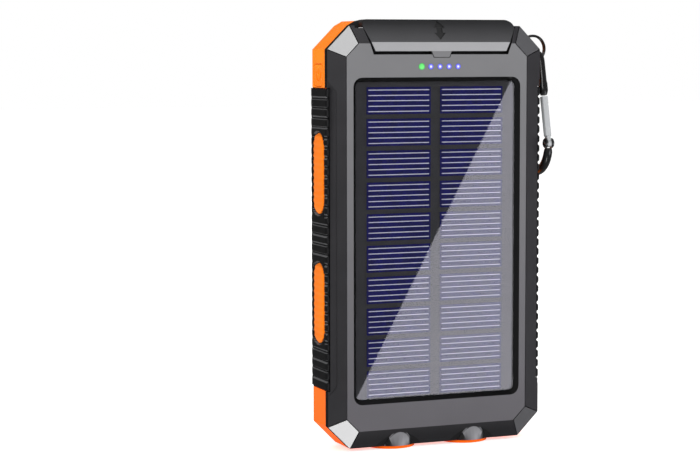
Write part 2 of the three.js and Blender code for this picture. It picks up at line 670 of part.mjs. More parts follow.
function gate() {
  const r = GATE.bar;
  const top = frontAt(GATE.noseZ - 0.6);
  const foot = new THREE.Vector3().lerpVectors(pivot, top, 0.16);
  const knee = new THREE.Vector3().lerpVectors(pivot, top, 0.3);
  const square = roundedRectangle(-r, r, -r, r, 0.6, 2);
  const round = new THREE.Shape(square.map((p) => new THREE.Vector2(...p)));
  const bar = new THREE.ExtrudeGeometry(round, {
    steps: 1, extrudePath: new THREE.LineCurve3(foot, top), bevelEnabled: false,
  });
  const strip = new THREE.Shape(
    [[-GATE.tang, -1], [GATE.tang, -1], [GATE.tang, 1], [-GATE.tang, 1]].map((p) => new THREE.Vector2(...p)),
  );
  const neck = new THREE.ExtrudeGeometry(strip, {
    steps: 1, extrudePath: new THREE.LineCurve3(pivot, knee), bevelEnabled: false,
  });
  const eye = rodX(GATE.eye, -GATE.tang, GATE.tang, pivot.y, pivot.z, 16);
  return cut(join(bar, neck, eye), rodX(GATE.hole, -r - 1, r + 1, pivot.y, pivot.z, 12));
}

function lanyardParts() {
  const group = section();
  add(group, 'lanyard_pin', rodY(PIN.radius, 0, PIN.front, PIN.rear, 0, 12), FINISH.steel)
    .position.set(PIN.x, 0, PIN.z);
  add(group, 'split_ring', splitRing(), FINISH.black).position.set(RING.x, LINK_Y, RING.z);
  const hook = new THREE.Group();
  hook.position.set(HOOK.x, LINK_Y, 0);
  group.add(hook);
  add(hook, 'carabiner_body', hookBody(), FINISH.black);
  add(hook, 'carabiner_gate', gate(), FINISH.chrome);
  add(hook, 'carabiner_gate_pin', rodX(GATE.pin, -1.45, 1.45, pivot.y, pivot.z, 12), FINISH.steel);
}

caseParts();
coverParts();
solarParts();
flashlightParts();
electronicsParts();
batteryParts();
buttonParts();
lanyardParts();

charger.position.z = LIFT;
const standing = new THREE.Group();
standing.add(charger);

export default standing;
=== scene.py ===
"""A solar phone charger with a flashlight end, a rubber port cover and a carabiner.

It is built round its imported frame, in millimetres, and scaled to metres as each piece is finished.
"""

import math

import bmesh
import bpy
from mathutils import Matrix, Vector
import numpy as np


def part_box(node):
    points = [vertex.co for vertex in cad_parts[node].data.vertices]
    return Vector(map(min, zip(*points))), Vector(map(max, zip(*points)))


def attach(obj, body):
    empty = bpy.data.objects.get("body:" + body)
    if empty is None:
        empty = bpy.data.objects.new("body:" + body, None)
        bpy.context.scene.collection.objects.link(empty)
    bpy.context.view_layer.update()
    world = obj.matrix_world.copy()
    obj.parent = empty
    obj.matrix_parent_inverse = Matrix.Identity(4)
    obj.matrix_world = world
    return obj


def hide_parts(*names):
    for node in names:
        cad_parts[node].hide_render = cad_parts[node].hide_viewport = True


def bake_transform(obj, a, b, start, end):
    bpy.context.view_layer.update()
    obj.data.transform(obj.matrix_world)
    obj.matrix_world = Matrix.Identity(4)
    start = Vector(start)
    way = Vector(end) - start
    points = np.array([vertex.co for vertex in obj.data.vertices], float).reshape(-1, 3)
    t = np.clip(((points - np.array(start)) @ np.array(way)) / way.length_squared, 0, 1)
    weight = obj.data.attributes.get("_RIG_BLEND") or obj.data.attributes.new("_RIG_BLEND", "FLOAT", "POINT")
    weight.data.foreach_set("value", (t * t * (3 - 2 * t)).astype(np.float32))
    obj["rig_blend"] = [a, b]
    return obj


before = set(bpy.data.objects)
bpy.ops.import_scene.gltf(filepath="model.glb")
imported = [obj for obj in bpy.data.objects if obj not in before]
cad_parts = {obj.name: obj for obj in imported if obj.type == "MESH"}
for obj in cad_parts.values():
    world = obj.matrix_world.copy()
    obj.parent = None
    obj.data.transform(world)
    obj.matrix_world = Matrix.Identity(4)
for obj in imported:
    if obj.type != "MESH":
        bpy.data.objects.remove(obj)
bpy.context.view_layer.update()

MM = 0.001
WHITE = (1, 1, 1, 1)
SIDES = {"left": -1, "right": 1}
FRONT, REAR = -1, 1


def span(node):
    """A CAD node's lowest and highest corner in millimetres."""
    low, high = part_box(node)
    return low / MM, high / MM


def middle(node):
    low, high = span(node)
    return (low + high) / 2


# ---- dimensions, in millimetres
SHELL_LOW, SHELL_HIGH = span("front_shell")
HALF_WIDTH = SHELL_HIGH.x
BOTTOM = SHELL_LOW.z
TOP = SHELL_HIGH.z
FACE_Y = -SHELL_LOW.y
EDGE_Y = FACE_Y - 2
CORNER = 7.9
FACE_INSET = 5.95
TAPER = {FRONT: 0.0, REAR: 1.1}

PANEL_LOW, PANEL_HIGH = span("solar_cover_sheet")

COVER_HIGH = span("port_cover")[1]
COVER_MIDDLE = 1.3
COVER_BOTTOM = 134.3
COVER_CREASE = 137.3
COVER_UNDER = 142.3
COVER_REAR_TOP = 143.1
COVER_LIP_BACK = -7.9
COVER_SLOPE = 3.8 / 10.6

BAND_Y = span("rear_shell")[0].y
LIGHT_X = middle("flashlight_lens_right").x
BULGE = 9.6

PAD_PLACES = ("upper", "lower")
LOBE_PITCH = 3.25


# ---- solids
def loft(rings, closed=False):
    """A solid through rings with the same count of points. A closed loft runs round to its start."""
    solid = bmesh.new()
    rows = [[solid.verts.new(point) for point in ring] for ring in rings]
    pairs = list(zip(rows, rows[1:]))
    if closed:
        pairs.append((rows[-1], rows[0]))
    else:
        solid.faces.new(rows[0])
        solid.faces.new(rows[-1])
    for a, b in pairs:
        for i, vertex in enumerate(a):
            j = (i + 1) % len(a)
            solid.faces.new((vertex, a[j], b[j], b[i]))
    bmesh.ops.recalc_face_normals(solid, faces=solid.faces)
    return solid


def place(axis, a, b, along):
    return {"x": (along, a, b), "y": (a, along, b), "z": (a, b, along)}[axis]


def prism(outline, axis, start, end):
    return loft([[place(axis, a, b, along) for a, b in outline] for along in (start, end)])


def block(x0, x1, y0, y1, z0, z1):
    return prism([(x0, y0), (x1, y0), (x1, y1), (x0, y1)], "z", z0, z1)


def arc(centre, radius, start, end, steps):
    """Points of an arc in a plane, angles in degrees."""
    angles = [math.radians(start + (end - start) * i / steps) for i in range(steps + 1)]
    return [(centre[0] + radius * math.cos(a), centre[1] + radius * math.sin(a)) for a in angles]


def circle(centre, radius, steps=48):
    return arc(centre, radius, 0, 360, steps)[:-1]


def rounded_rectangle(a0, a1, b0, b1, radius, steps=6):
    corners = [(a1 - radius, b0 + radius, -90), (a1 - radius, b1 - radius, 0)]
    corners += [(a0 + radius, b1 - radius, 90), (a0 + radius, b0 + radius, 180)]
    return [point for a, b, start in corners for point in arc((a, b), radius, start, start + 90, steps)]


def capsule(start, end, radius, steps=6):
    """The outline of a round-ended slot between two points."""
    heading = math.degrees(math.atan2(end[1] - start[1], end[0] - start[0]))
    far = arc(end, radius, heading - 90, heading + 90, steps)
    return far + arc(start, radius, heading + 90, heading + 270, steps)


def turned(profile, centre, axis="z", steps=64, closed=False):
    """A solid of revolution from (radius, height) points. A closed profile is the section of a ring."""
    a, b, along = {"x": (1, 2, 0), "y": (0, 2, 1), "z": (0, 1, 2)}[axis]
    base = Vector(centre)

    def point(radius, height, angle):
        p = base.copy()
        p[a] += radius * math.cos(angle)
        p[b] += radius * math.sin(angle)
        p[along] += height
        return p

    angles = [2 * math.pi * i / steps for i in range(steps)]
    if closed:
        return loft([[point(r, h, angle) for r, h in profile] for angle in angles], closed=True)
    return loft([[point(r, h, angle) for angle in angles] for r, h in profile])


def sweep(points, section, closed=False):
    """A solid along a line of points. section(share) gives the (across, up) outline part-way."""
    points = [Vector(p) for p in points]
    last = len(points) - 1
    rings = []
    side = None
    for i, p in enumerate(points):
        before = points[i - 1] if i or closed else p
        after = points[(i + 1) % len(points)] if i < last or closed else p
        heading = (after - before).normalized()
        if side is None:
            side = heading.orthogonal() if abs(heading.x) > 0.9 else heading.cross(Vector((1, 0, 0)))
        side = (side - heading * side.dot(heading)).normalized()
        up = heading.cross(side)
        rings.append([p + side * a + up * b for a, b in section(i / last)])
    return loft(rings, closed)


def group(solids):
    """Several separate solids in one mesh."""
    whole = bmesh.new()
    for solid in solids:
        part = bpy.data.meshes.new("part")
        solid.to_mesh(part)
        solid.free()
        whole.from_mesh(part)
        bpy.data.meshes.remove(part)
    return whole


def mesh_object(name, solid):
    mesh = bpy.data.meshes.new(name)
    solid.to_mesh(mesh)
    solid.free()
    obj = bpy.data.objects.new(name, mesh)
    bpy.context.scene.collection.objects.link(obj)
    return obj


def combine(obj, solid, operation):
    tool = mesh_object("tool", solid)
    modifier = obj.modifiers.new("combine", "BOOLEAN")
    modifier.operation = operation
    modifier.object = tool
    modifier.solver = "MANIFOLD"
    bpy.context.view_layer.update()
    result = bpy.data.meshes.new_from_object(obj.evaluated_get(bpy.context.evaluated_depsgraph_get()))
    obj.modifiers.clear()
    old, obj.data = obj.data, result
    bpy.data.meshes.remove(old)
    bpy.data.objects.remove(tool)
    if not result.polygons:
        raise RuntimeError(f"{obj.name}: a {operation} left nothing")
    return obj


def cut(obj, *solids):
    for solid in solids:
        combine(obj, solid, "DIFFERENCE")
    return obj


def join(obj, *solids):
    for solid in solids:
        combine(obj, solid, "UNION")
    return obj


def common(first, second):
    """The solid that two solids share."""
    obj = combine(mesh_object("common", first), second, "INTERSECT")
    solid = bmesh.new()
    solid.from_mesh(obj.data)
    bpy.data.objects.remove(obj)
    return solid


def from_cad(node, name):
    """A clean millimetre copy of a CAD node's shape, with its flat regions as single faces."""
    solid = bmesh.new()
    solid.from_mesh(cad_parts[node].data)
    bmesh.ops.scale(solid, vec=(1 / MM,) * 3, verts=solid.verts)
    bmesh.ops.remove_doubles(solid, verts=solid.verts, dist=0.001)
    bmesh.ops.dissolve_limit(solid, angle_limit=math.radians(0.5), verts=solid.verts, edges=solid.edges)
    obj = mesh_object(name, solid)
    attributes = obj.data.attributes
    for extra in ("custom_normal", "sharp_edge", "sharp_face"):
        if extra in attributes:
            attributes.remove(attributes[extra])
    return obj


def paint(obj, *finishes, rule=None):
    """Gives the faces their finishes. rule(centre, normal) names one, and without it the first is used."""
    mesh = obj.data
    mesh.materials.clear()
    for finish in finishes:
        mesh.materials.append(MATERIALS[finish])
    for face in mesh.polygons:
        face.material_index = finishes.index(rule(face.center, face.normal)) if rule else 0
    return obj


def to_metres(mesh):
    """Scales a millimetre mesh and smooths its faces."""
    mesh.transform(Matrix.Scale(MM, 4))
    mesh.update()
    for face in mesh.polygons:
        face.use_smooth = True


def complete(
    obj, slot, stands_for=(), body="case", bevel=0.0, segments=2, angle=28, smooth=38, origin=None
):
    """Turns a millimetre mesh into a finished piece in metres, on its body and with its shading.

    A bevel rounds the edges sharper than angle. Without one, the edges sharper than smooth stay crisp.
    """
    mesh = obj.data
    if origin is not None:
        mesh.transform(Matrix.Translation(-Vector(origin)))
        obj.location = Vector(origin) * MM
    to_metres(mesh)
    if bevel:
        modifier = obj.modifiers.new("edges", "BEVEL")
        modifier.width = bevel * MM
        modifier.segments = segments
        modifier.limit_method = "ANGLE"
        modifier.angle_limit = math.radians(angle)
        modifier.miter_outer = "MITER_ARC"
        obj.modifiers.new("shading", "WEIGHTED_NORMAL").keep_sharp = True
    else:
        mesh.set_sharp_from_angle(angle=math.radians(smooth))
    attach(obj, body)
    if stands_for:
        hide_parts(*stands_for)


def add_piece(name, solid, finish, slot, stands_for=(), **ways):
    """A finished piece in one material, made from a millimetre solid."""
    complete(paint(mesh_object(name, solid), finish), slot, stands_for, **ways)


def copy_piece(node, name, finish, slot, **ways):
    """A finished piece in one material that keeps the shape of a CAD node."""
    complete(paint(from_cad(node, name), finish), slot, [node], **ways)


# ---- materials
def srgb(red, green, blue):
    """An sRGB colour, 0 to 255, as the linear one that the shaders take."""
    def channel(value):
        value /= 255
        return value / 12.92 if value <= 0.04045 else ((value + 0.055) / 1.055) ** 2.4
    return (channel(red), channel(green), channel(blue), 1)


class Nodes:
    """A material's node tree, with short calls to add nodes and join them."""

    def __init__(self, name):
        self.material = bpy.data.materials.new(name)
        self.material.use_nodes = True
        self.tree = self.material.node_tree
        self.shader = self.tree.nodes["Principled BSDF"]

    def add(self, kind, **inputs):
        node = self.tree.nodes.new(kind)
        for key, value in inputs.items():
            self.feed(node, key.replace("_", " "), value)
        return node

    def feed(self, node, key, value):
        socket = node.inputs[int(key)] if key.isdigit() else node.inputs[key]
        if isinstance(value, bpy.types.NodeSocket):
            self.tree.links.new(value, socket)
        else:
            socket.default_value = value

    def place(self):
        return self.add("ShaderNodeTexCoord").outputs["Object"]

    def noise(self, per_mm, detail=3, stretch=None):
        where = self.place()
        if stretch:
            where = self.add("ShaderNodeMapping", Vector=where, Scale=stretch).outputs[0]
        return self.add("ShaderNodeTexNoise", Vector=where, Scale=per_mm / MM, Detail=detail).outputs[0]

    def between(self, value, low, high, to_low, to_high):
        node = self.add("ShaderNodeMapRange")
        for key, given in zip(("0", "1", "2", "3", "4"), (value, low, high, to_low, to_high)):
            self.feed(node, key, given)
        return node.outputs[0]

    def blend(self, share, first, second, mode="MIX"):
        node = self.add("ShaderNodeMix")
        node.data_type = "RGBA"
        node.blend_type = mode
        for key, given in zip(("0", "6", "7"), (share, first, second)):
            self.feed(node, key, given)
        return node.outputs[2]

    def product(self, first, second):
        node = self.add("ShaderNodeMath")
        node.operation = "MULTIPLY"
        self.feed(node, "0", first)
        self.feed(node, "1", second)
        return node.outputs[0]

    def rubbed(self, low, high, most):
        """How worn a spot is: not at all on flats, and more on the outer edges."""
        pointed = self.add("ShaderNodeNewGeometry").outputs["Pointiness"]
        return self.between(pointed, low, high, 0.0, most)

    def bump(self, height, strength, depth_mm):
        node = self.add("ShaderNodeBump", Strength=strength, Distance=depth_mm * MM, Height=height)
        self.feed(self.shader, "Normal", node.outputs[0])

    def mottled(self, first, second, per_mm, detail=3):
        """A colour that drifts between two."""
        self.set(Base_Color=self.blend(self.noise(per_mm, detail), first, second))

    def rough(self, low, high, per_mm, detail=3):
        """A roughness that drifts between two values."""
        self.set(Roughness=self.between(self.noise(per_mm, detail), 0.3, 0.7, low, high))

    def set(self, **values):
        for key, value in values.items():
            self.feed(self.shader, key.replace("_", " "), value)


def moulded(name, colour, roughness, grain=2.2, depth=0.02, shade=0.12, low=None, specular=0.5):
    """Moulded plastic or rubber: fine grain, mottling and rubbed edges.

    low is a second colour, and the heights in millimetres between which it gives way to the first: a painted
    shade gradient by height.
    """
    n = Nodes(name)
    base = colour
    # a second colour by height paints shade across the part
    if low is not None:
        colour_low, z_low, z_high = low
        height = n.add("ShaderNodeSeparateXYZ", Vector=n.place()).outputs["Z"]
        share = n.between(height, z_low * MM, z_high * MM, 0.0, 1.0)
        base = n.blend(share, colour_low, colour)
    mottle = n.between(n.noise(0.12, 4), 0.35, 0.65, 0.0, 1.0)
    darker = n.blend(1.0, base, (1 - shade,) * 3 + (1,), "MULTIPLY")
    base = n.blend(mottle, base, darker)
    lighter = n.blend(1.0, base, (1.7, 1.7, 1.7, 1), "MULTIPLY")
    n.set(Base_Color=n.blend(n.rubbed(0.52, 0.6, 0.35), base, lighter), Specular_IOR_Level=specular)
    n.rough(roughness - 0.05, roughness + 0.07, 0.05, 5)
    n.bump(n.noise(grain, 2), 0.35, depth)
    return n.material


def dome_painted_light():
    """The flashlight bulges: a painted highlight down the middle, falling off to painted shade, black at the
    sides, by where each face points.
    """
    n = Nodes("dome_painted_light")
    normal = n.add("ShaderNodeNewGeometry").outputs["Normal"]
    sideways = n.add("ShaderNodeSeparateXYZ", Vector=normal).outputs["X"]
    rise = n.between(sideways, -0.35, 0.08, 0.0, 1.0)
    fall = n.between(sideways, 0.12, 0.42, 1.0, 0.0)
    n.set(Base_Color=n.blend(n.product(rise, fall), srgb(14, 14, 15), srgb(128, 128, 132)))
    n.set(Specular_IOR_Level=0.4)
    n.rough(0.3, 0.4, 0.05, 5)
    n.bump(n.noise(2.2, 2), 0.2, 0.01)
    return n.material


def facet_gloss():
    """The four corner facets of each shell, polished brighter than the rest."""
    n = Nodes("shell_facet")
    n.mottled(srgb(76, 76, 79), srgb(71, 71, 74), 0.12, 4)
    n.set(Specular_IOR_Level=1.0, Coat_Weight=1.0, Coat_Roughness=0.12)
    n.rough(0.16, 0.22, 0.05, 5)
    return n.material


def glossy_black():
    n = Nodes("lip_gloss")
    n.set(Base_Color=srgb(8, 8, 9), Coat_Weight=0.4, Coat_Roughness=0.08)
    n.rough(0.12, 0.2, 0.3, 4)
    n.bump(n.noise(0.15, 2), 0.1, 0.01)
    return n.material


def metal(name, colour, roughness, scratch):
    """Bright metal with fine streaks along z."""
    n = Nodes(name)
    streaks = n.noise(1.5, 4, stretch=(1, 1, 0.08))
    n.mottled(colour, tuple(0.86 * c for c in colour[:3]) + (1,), 0.2)
    n.set(Metallic=1.0, Roughness=n.between(streaks, 0.3, 0.7, roughness, roughness + scratch))
    n.bump(streaks, 0.15, 0.008)
    return n.material


def lacquer(name, colour, roughness):
    """Black lacquered or anodised metal, worn on its edges."""
    n = Nodes(name)
    n.set(Base_Color=n.blend(n.rubbed(0.55, 0.7, 0.5), colour, srgb(120, 122, 124)))
    n.set(Coat_Weight=0.5, Coat_Roughness=0.12, Specular_IOR_Level=0.6)
    n.rough(roughness, roughness + 0.1, 0.4, 4)
    n.bump(n.noise(1.2, 3), 0.12, 0.01)
    return n.material


def silicon():
    """Blue polycrystalline cells: flakes a few millimetres across, each a slightly different blue."""
    n = Nodes("silicon_blue")
    flakes = n.add("ShaderNodeTexVoronoi", Vector=n.place(), Scale=0.45 / MM).outputs["Color"]
    share = n.add("ShaderNodeSeparateColor", Color=flakes).outputs[0]
    n.set(Base_Color=n.blend(share, srgb(3, 3, 84), srgb(8, 8, 104)))
    n.set(Roughness=n.between(share, 0.0, 1.0, 0.3, 0.42), Specular_IOR_Level=0.03)
    n.bump(n.noise(2.5, 2), 0.1, 0.005)
    return n.material


def finger_silver():
    n = Nodes("printed_silver")
    n.mottled(srgb(250, 250, 255), srgb(228, 229, 252), 1.1)
    n.rough(0.35, 0.5, 2.0, 3)
    return n.material


def clear_sheet(name, tint, gloss):
    """A thin clear sheet, seen straight through. It mirrors by Fresnel.

    Its inner faces mirror wholly past 42 degrees, which hides what is behind it in steep views.
    """
    n = Nodes(name)
    n.tree.nodes.remove(n.shader)
    through = n.add("ShaderNodeBsdfTransparent", Color=tint)
    shine = n.blend(n.noise(0.04, 2), WHITE, (0.97, 0.97, 0.97, 1))
    mirror = n.add("ShaderNodeBsdfGlossy", Color=shine, Roughness=gloss)
    share = n.add("ShaderNodeFresnel", IOR=1.5).outputs[0]
    mix = n.add("ShaderNodeMixShader")
    for key, given in zip(("0", "1", "2"), (share, through.outputs[0], mirror.outputs[0])):
        n.feed(mix, key, given)
    n.feed(n.tree.nodes["Material Output"], "Surface", mix.outputs[0])
    return n.material


def lamp_lens(name, heart, halo, strength, sizes):
    """A light pipe that glows pale in the middle, coloured round it, and fades into the shell's grey."""
    n = Nodes(name)
    where = n.add("ShaderNodeSeparateXYZ", Vector=n.place())
    flat = n.add("ShaderNodeCombineXYZ", X=where.outputs["X"], Y=0.0, Z=where.outputs["Z"])
    length = n.add("ShaderNodeVectorMath")
    length.operation = "LENGTH"
    n.feed(length, "0", flat.outputs[0])
    radius = length.outputs["Value"]
    inner, outer = sizes
    colour = n.blend(n.between(radius, inner * 0.6 * MM, inner * 1.3 * MM, 0.0, 1.0), heart, halo)
    fade = n.between(radius, inner * MM, outer * MM, 1.0, 0.0)
    n.set(Base_Color=n.blend(fade, GREY_TOP, halo), Emission_Color=colour)
    n.set(Emission_Strength=n.product(fade, strength))
    n.rough(0.2, 0.3, 1.0)
    return n.material


def circuit_board():
    n = Nodes("solder_mask_green")
    tracks = n.add("ShaderNodeTexBrick", Vector=n.place(), Scale=0.25 / MM)
    n.feed(tracks, "Color1", srgb(22, 88, 48))
    n.feed(tracks, "Color2", srgb(16, 72, 38))
    n.feed(tracks, "Mortar", srgb(40, 122, 70))
    n.set(Base_Color=tracks.outputs[0])
    n.rough(0.3, 0.45, 0.4)
    n.bump(tracks.outputs[1], 0.3, 0.03)
    return n.material


def pouch_foil():
    n = Nodes("pouch_foil")
    n.mottled(srgb(176, 180, 186), srgb(150, 154, 162), 0.08, 4)
    n.set(Metallic=1.0)
    n.rough(0.28, 0.42, 0.2, 4)
    n.bump(n.noise(0.12, 5), 0.5, 0.2)
    return n.material


# GREY_LOW is the shell face's darker grey towards the bottom: painted shade
GREY_TOP, GREY_LOW = srgb(95, 95, 97), srgb(74, 72, 76)
ORANGE = srgb(255, 126, 4)
# ORANGE_LOW is the frame's deeper orange towards the bottom: painted shade
ORANGE_LOW = srgb(250, 100, 0)

MATERIALS = {
    # the shell face is painted lighter at the top and darker towards the bottom: painted shade
    "face": moulded("shell_face", GREY_TOP, 0.5, low=(GREY_LOW, 13, 129), shade=0.03),
    # the bevels are painted far darker than the face, and darker still near the bottom: painted shade on the
    # same plastic
    "bevel": moulded("painted_shade_bevel", srgb(36, 35, 38), 0.45, low=(srgb(22, 21, 24), 4, 9)),
    "facet": facet_gloss(),
    "lip": glossy_black(),
    # flat black painted shade, for the shells' side walls, the bay under the cover, the scoops beside the
    # bulges, and the frame's joints and foot
    "gap": moulded("painted_shade_black", srgb(14, 14, 15), 0.7),
    "rear": moulded("rear_face", srgb(84, 82, 88), 0.5, shade=0.06),
    # the rear's sunk fields, slots and ribs are painted darker than its face: painted shade in the recesses
    "rear_painted_shade": moulded("painted_rear_recess_shade", srgb(46, 45, 50), 0.55),
    # the frame's orange is painted deeper towards the bottom: painted shade
    "orange": moulded(
        "frame_orange", ORANGE, 0.5, low=(ORANGE_LOW, 8, 110), depth=0.012, shade=0.07, specular=0.15
    ),
    # the bulges carry a painted highlight and painted shade
    "dome": dome_painted_light(),
    "orange_rubber": moulded("pad_orange", ORANGE, 0.6, grain=3.5, depth=0.03, shade=0.1, specular=0.2),
    "rubber": moulded("grip_black", srgb(16, 16, 18), 0.55, grain=3.0, depth=0.025, specular=0.35),
    # light grey on the walls of the grip's ribs: painted highlight lines
    "rubber_painted_highlight": moulded("grip_painted_highlight", srgb(92, 92, 94), 0.6, grain=3.0, depth=0.025),
    # the cover's crown is painted darker towards the top and its flat front a light grey: painted shade and
    # painted light on one rubber
    "cover": moulded("cover_dark", srgb(30, 30, 32), 0.5, low=(srgb(56, 56, 58), 137.5, 144.6), shade=0.04),
    "cover_strip": moulded("cover_strip", srgb(130, 130, 132), 0.5, shade=0.03),
    "arrow": moulded("arrow_black", srgb(30, 30, 31), 0.7),
    "silicon": silicon(),
    "silver": finger_silver(),
    "board_black": moulded("panel_black", srgb(55, 55, 57), 0.5, specular=0.15),
    "sheet": clear_sheet("panel_sheet", (0.97, 0.97, 0.99, 1), 0.0),
    "torch_glass": clear_sheet("torch_glass", (0.95, 0.97, 1.0, 1), 0.03),
    "chrome": metal("chrome_plate", srgb(236, 236, 238), 0.08, 0.05),
    "gate_silver": moulded("gate_silver", srgb(150, 152, 154), 0.25, depth=0.004, shade=0.05, specular=0.8),
    "steel": metal("plated_steel", srgb(196, 198, 202), 0.25, 0.12),
    "gold": metal("contact_gold", srgb(232, 190, 96), 0.25, 0.1),
    "black_metal": lacquer("hook_black", srgb(12, 12, 13), 0.25),
    "plastic_black": moulded("connector_black", srgb(22, 22, 24), 0.45),
    "plastic_white": moulded("connector_white", srgb(226, 224, 216), 0.45),
    "circuit": circuit_board(),
    "foil": pouch_foil(),
    "foam": moulded("black_foam", srgb(36, 36, 40), 0.95, grain=1.4, depth=0.2, specular=0.1),
    "wire": moulded("lead_red", srgb(170, 28, 26), 0.45),
    "led_green": lamp_lens("status_green", srgb(160, 240, 160), srgb(70, 190, 84), 0.25, (0.85, 1.25)),
    "led_blue": lamp_lens("status_blue", WHITE, srgb(84, 84, 246), 0.85, (0.42, 1.05)),
    "phosphor": moulded("led_phosphor", srgb(240, 216, 90), 0.4),
}


# ---- shells
def body_outline(inset):
    """The eight-sided outline of the body, moved in by an inset."""
    x, low, high = HALF_WIDTH - inset, BOTTOM + inset, TOP - inset
    c = CORNER - inset * (2 - math.sqrt(2))
    right = [(x - c, low), (x, low + c), (x, high - c), (x - c, high)]
    return right + [(-a, b) for a, b in reversed(right)]


def bevel_y(inset, face):
    """How far out the bevel round a face is, at a distance in from the body's outline."""
    return EDGE_Y + (inset - TAPER[face]) * (FACE_Y - EDGE_Y) / (FACE_INSET - TAPER[face])


STEP = {"line": 36.4, "depth": 0.22, "low": 17.7, "high": 126.0, "slant": 5.0}
LINE_RADIUS = 0.17
SCOOP_DEPTH = 0.1
CLEAR = 2  # how far the cutters for the bevels reach past the face


def side_steps(face):
    """Cutters for the shallow step along the outer half of both side bevels."""
    solids = []
    for side in SIDES.values():
        line, outer = STEP["line"], HALF_WIDTH + 1
        outline = [(line, STEP["low"] + STEP["slant"]), (outer, STEP["low"])]
        outline += [(outer, STEP["high"]), (line, STEP["high"] - STEP["slant"])]
        inner = [(side * x, face * (bevel_y(HALF_WIDTH - x, face) - STEP["depth"]), z) for x, z in outline]
        solids.append(loft([inner, [(side * x, face * (FACE_Y + CLEAR), z) for x, z in outline]]))
    return group(solids)


def edge_lines(face):
    """Cutters for the fine lines along the face's sides and round the corner facets."""
    ring = circle((0, 0), LINE_RADIUS, 8)
    edge, rim = body_outline(TAPER[face]), body_outline(FACE_INSET)
    along, across = [], []
    for start in (0, 4):
        side = [(x, face * FACE_Y, z) for x, z in rim[start:start + 4]]
        along.append(sweep(side, lambda share: ring))
        for i in range(start, start + 4):
            inner = Vector((rim[i][0], face * FACE_Y, rim[i][1]))
            outer = Vector((edge[i][0], face * EDGE_Y, edge[i][1]))
            across.append(sweep([inner, outer + (outer - inner) * 0.1], lambda share: ring))
    return group(along), group(across)


def dome_scoops(face):
    """Cutters for the wedges of painted shadow beside the two flashlight bulges, sunk just under the lower
    bevel.
    """
    low, high, wide = BOTTOM - 1, BOTTOM + FACE_INSET, BULGE + 1.9
    profile = [(BULGE, low), (wide + 0.8, low), (wide, BOTTOM + 0.6), (BULGE + 0.1, BOTTOM + 4.4)]
    outside = [(face * (bevel_y(z - BOTTOM, face) - SCOOP_DEPTH), z) for z in (low, high)]
    outside += [(face * (FACE_Y + CLEAR), high), (face * (FACE_Y + CLEAR), low)]
    wedges = []
    for side in SIDES.values():
        ring = turned(profile, (side * LIGHT_X, 0, 0), steps=96, closed=True)
        wedges.append(common(ring, prism(outside, "x", -60, 60)))
    return group(wedges)


def shell_region(face):
    """A rule that names the finish of a shell's face from where it is and where it points. Several of the
    finishes are painted shade, and one a painted highlight.
    """
    lip = 1.7
    panel_x, panel_low, panel_high = PANEL_HIGH.x + lip, PANEL_LOW.z - lip, PANEL_HIGH.z + lip
    rise, run = FACE_Y - EDGE_Y, FACE_INSET - TAPER[face]
    bevel_out = run / math.hypot(rise, run)

    def region(centre, normal):
        x, z, out = abs(centre.x), centre.z, normal.y * face
        depth = FACE_Y - centre.y * face
        sunk = bevel_y(z - BOTTOM, face) - centre.y * face
        from_axis = math.hypot(x - LIGHT_X, centre.y)
        on_dome = z < BOTTOM + 10 and abs(from_axis - BULGE) < 0.12 and abs(normal.z) < 0.1
        in_scoop = z < BOTTOM + 4.6 and BULGE - 2 < from_axis < BULGE + 2.8 and 0.03 < sunk < 1.5
        on_wall = depth > rise - 0.02 and abs(out) < 0.6
        in_recess = depth < 4 and x < panel_x and panel_low < z < panel_high
        in_bay = depth > 0.05 and z > COVER_BOTTOM - 2 and x < COVER_HIGH.x + 1
        on_bevel = abs(out - bevel_out) < 0.02
        # the bulges take a painted highlight and painted shade
        if on_dome:
            return "dome"
        # the scoops beside the bulges and the shells' side walls are painted black: painted shade
        if in_scoop or on_wall:
            return "gap"
        if out > 0.99 and depth < 0.05:
            return "face" if face == FRONT else "rear"
        if face == FRONT and in_recess:
            return "lip"
        if on_bevel and min(abs(normal.x), abs(normal.z)) > 0.2:
            return "facet"
        # the walls of the bay under the cover are painted black: painted shade
        if face == FRONT and in_bay and not (on_bevel and abs(normal.z) > 0.2):
            return "gap"
        # the rear's recesses are painted darker: painted shade
        if face == REAR and depth < 1 and out > -0.5 and not on_bevel and x < 31:
            return "rear_painted_shade"
        # the bevels, and the grooves of the fine lines with them, are painted dark: painted shade
        return "bevel"

    return region


SHELL_FINISHES = ("bevel", "face", "facet", "lip", "gap", "rear", "rear_painted_shade", "dome")


def front_shell():
    shell = from_cad("front_shell", "front_shell_piece")
    cut(shell, side_steps(FRONT), *edge_lines(FRONT), dome_scoops(FRONT))
    paint(shell, *SHELL_FINISHES, rule=shell_region(FRONT))
    complete(shell, "shell", ["front_shell"], bevel=0.12)


RIBS = {
    "low": 23.5,
    "high": 46.5,
    "left": -25.5,
    "right": 31.0,
    "first": 17.6,
    "pitch": 1.75,
    "lean": 0.87,
    "radius": 0.42,
}


def rear_ribs():
    """Cutters for the slanted ribs across the back, above the flashlight."""
    low, high, lean = RIBS["low"], RIBS["high"], RIBS["lean"]
    grooves = []
    x = RIBS["first"]
    while True:
        start = max(low, low + (RIBS["left"] - x) / lean)
        end = min(high, low + (RIBS["right"] - x) / lean)
        if start > high - 2:
            return group(grooves)
        ends = [(x + lean * (z - low), z) for z in (start, end)]
        grooves.append(prism(capsule(*ends, RIBS["radius"], 4), "y", FACE_Y - 0.5, FACE_Y + 1))
        x -= RIBS["pitch"]


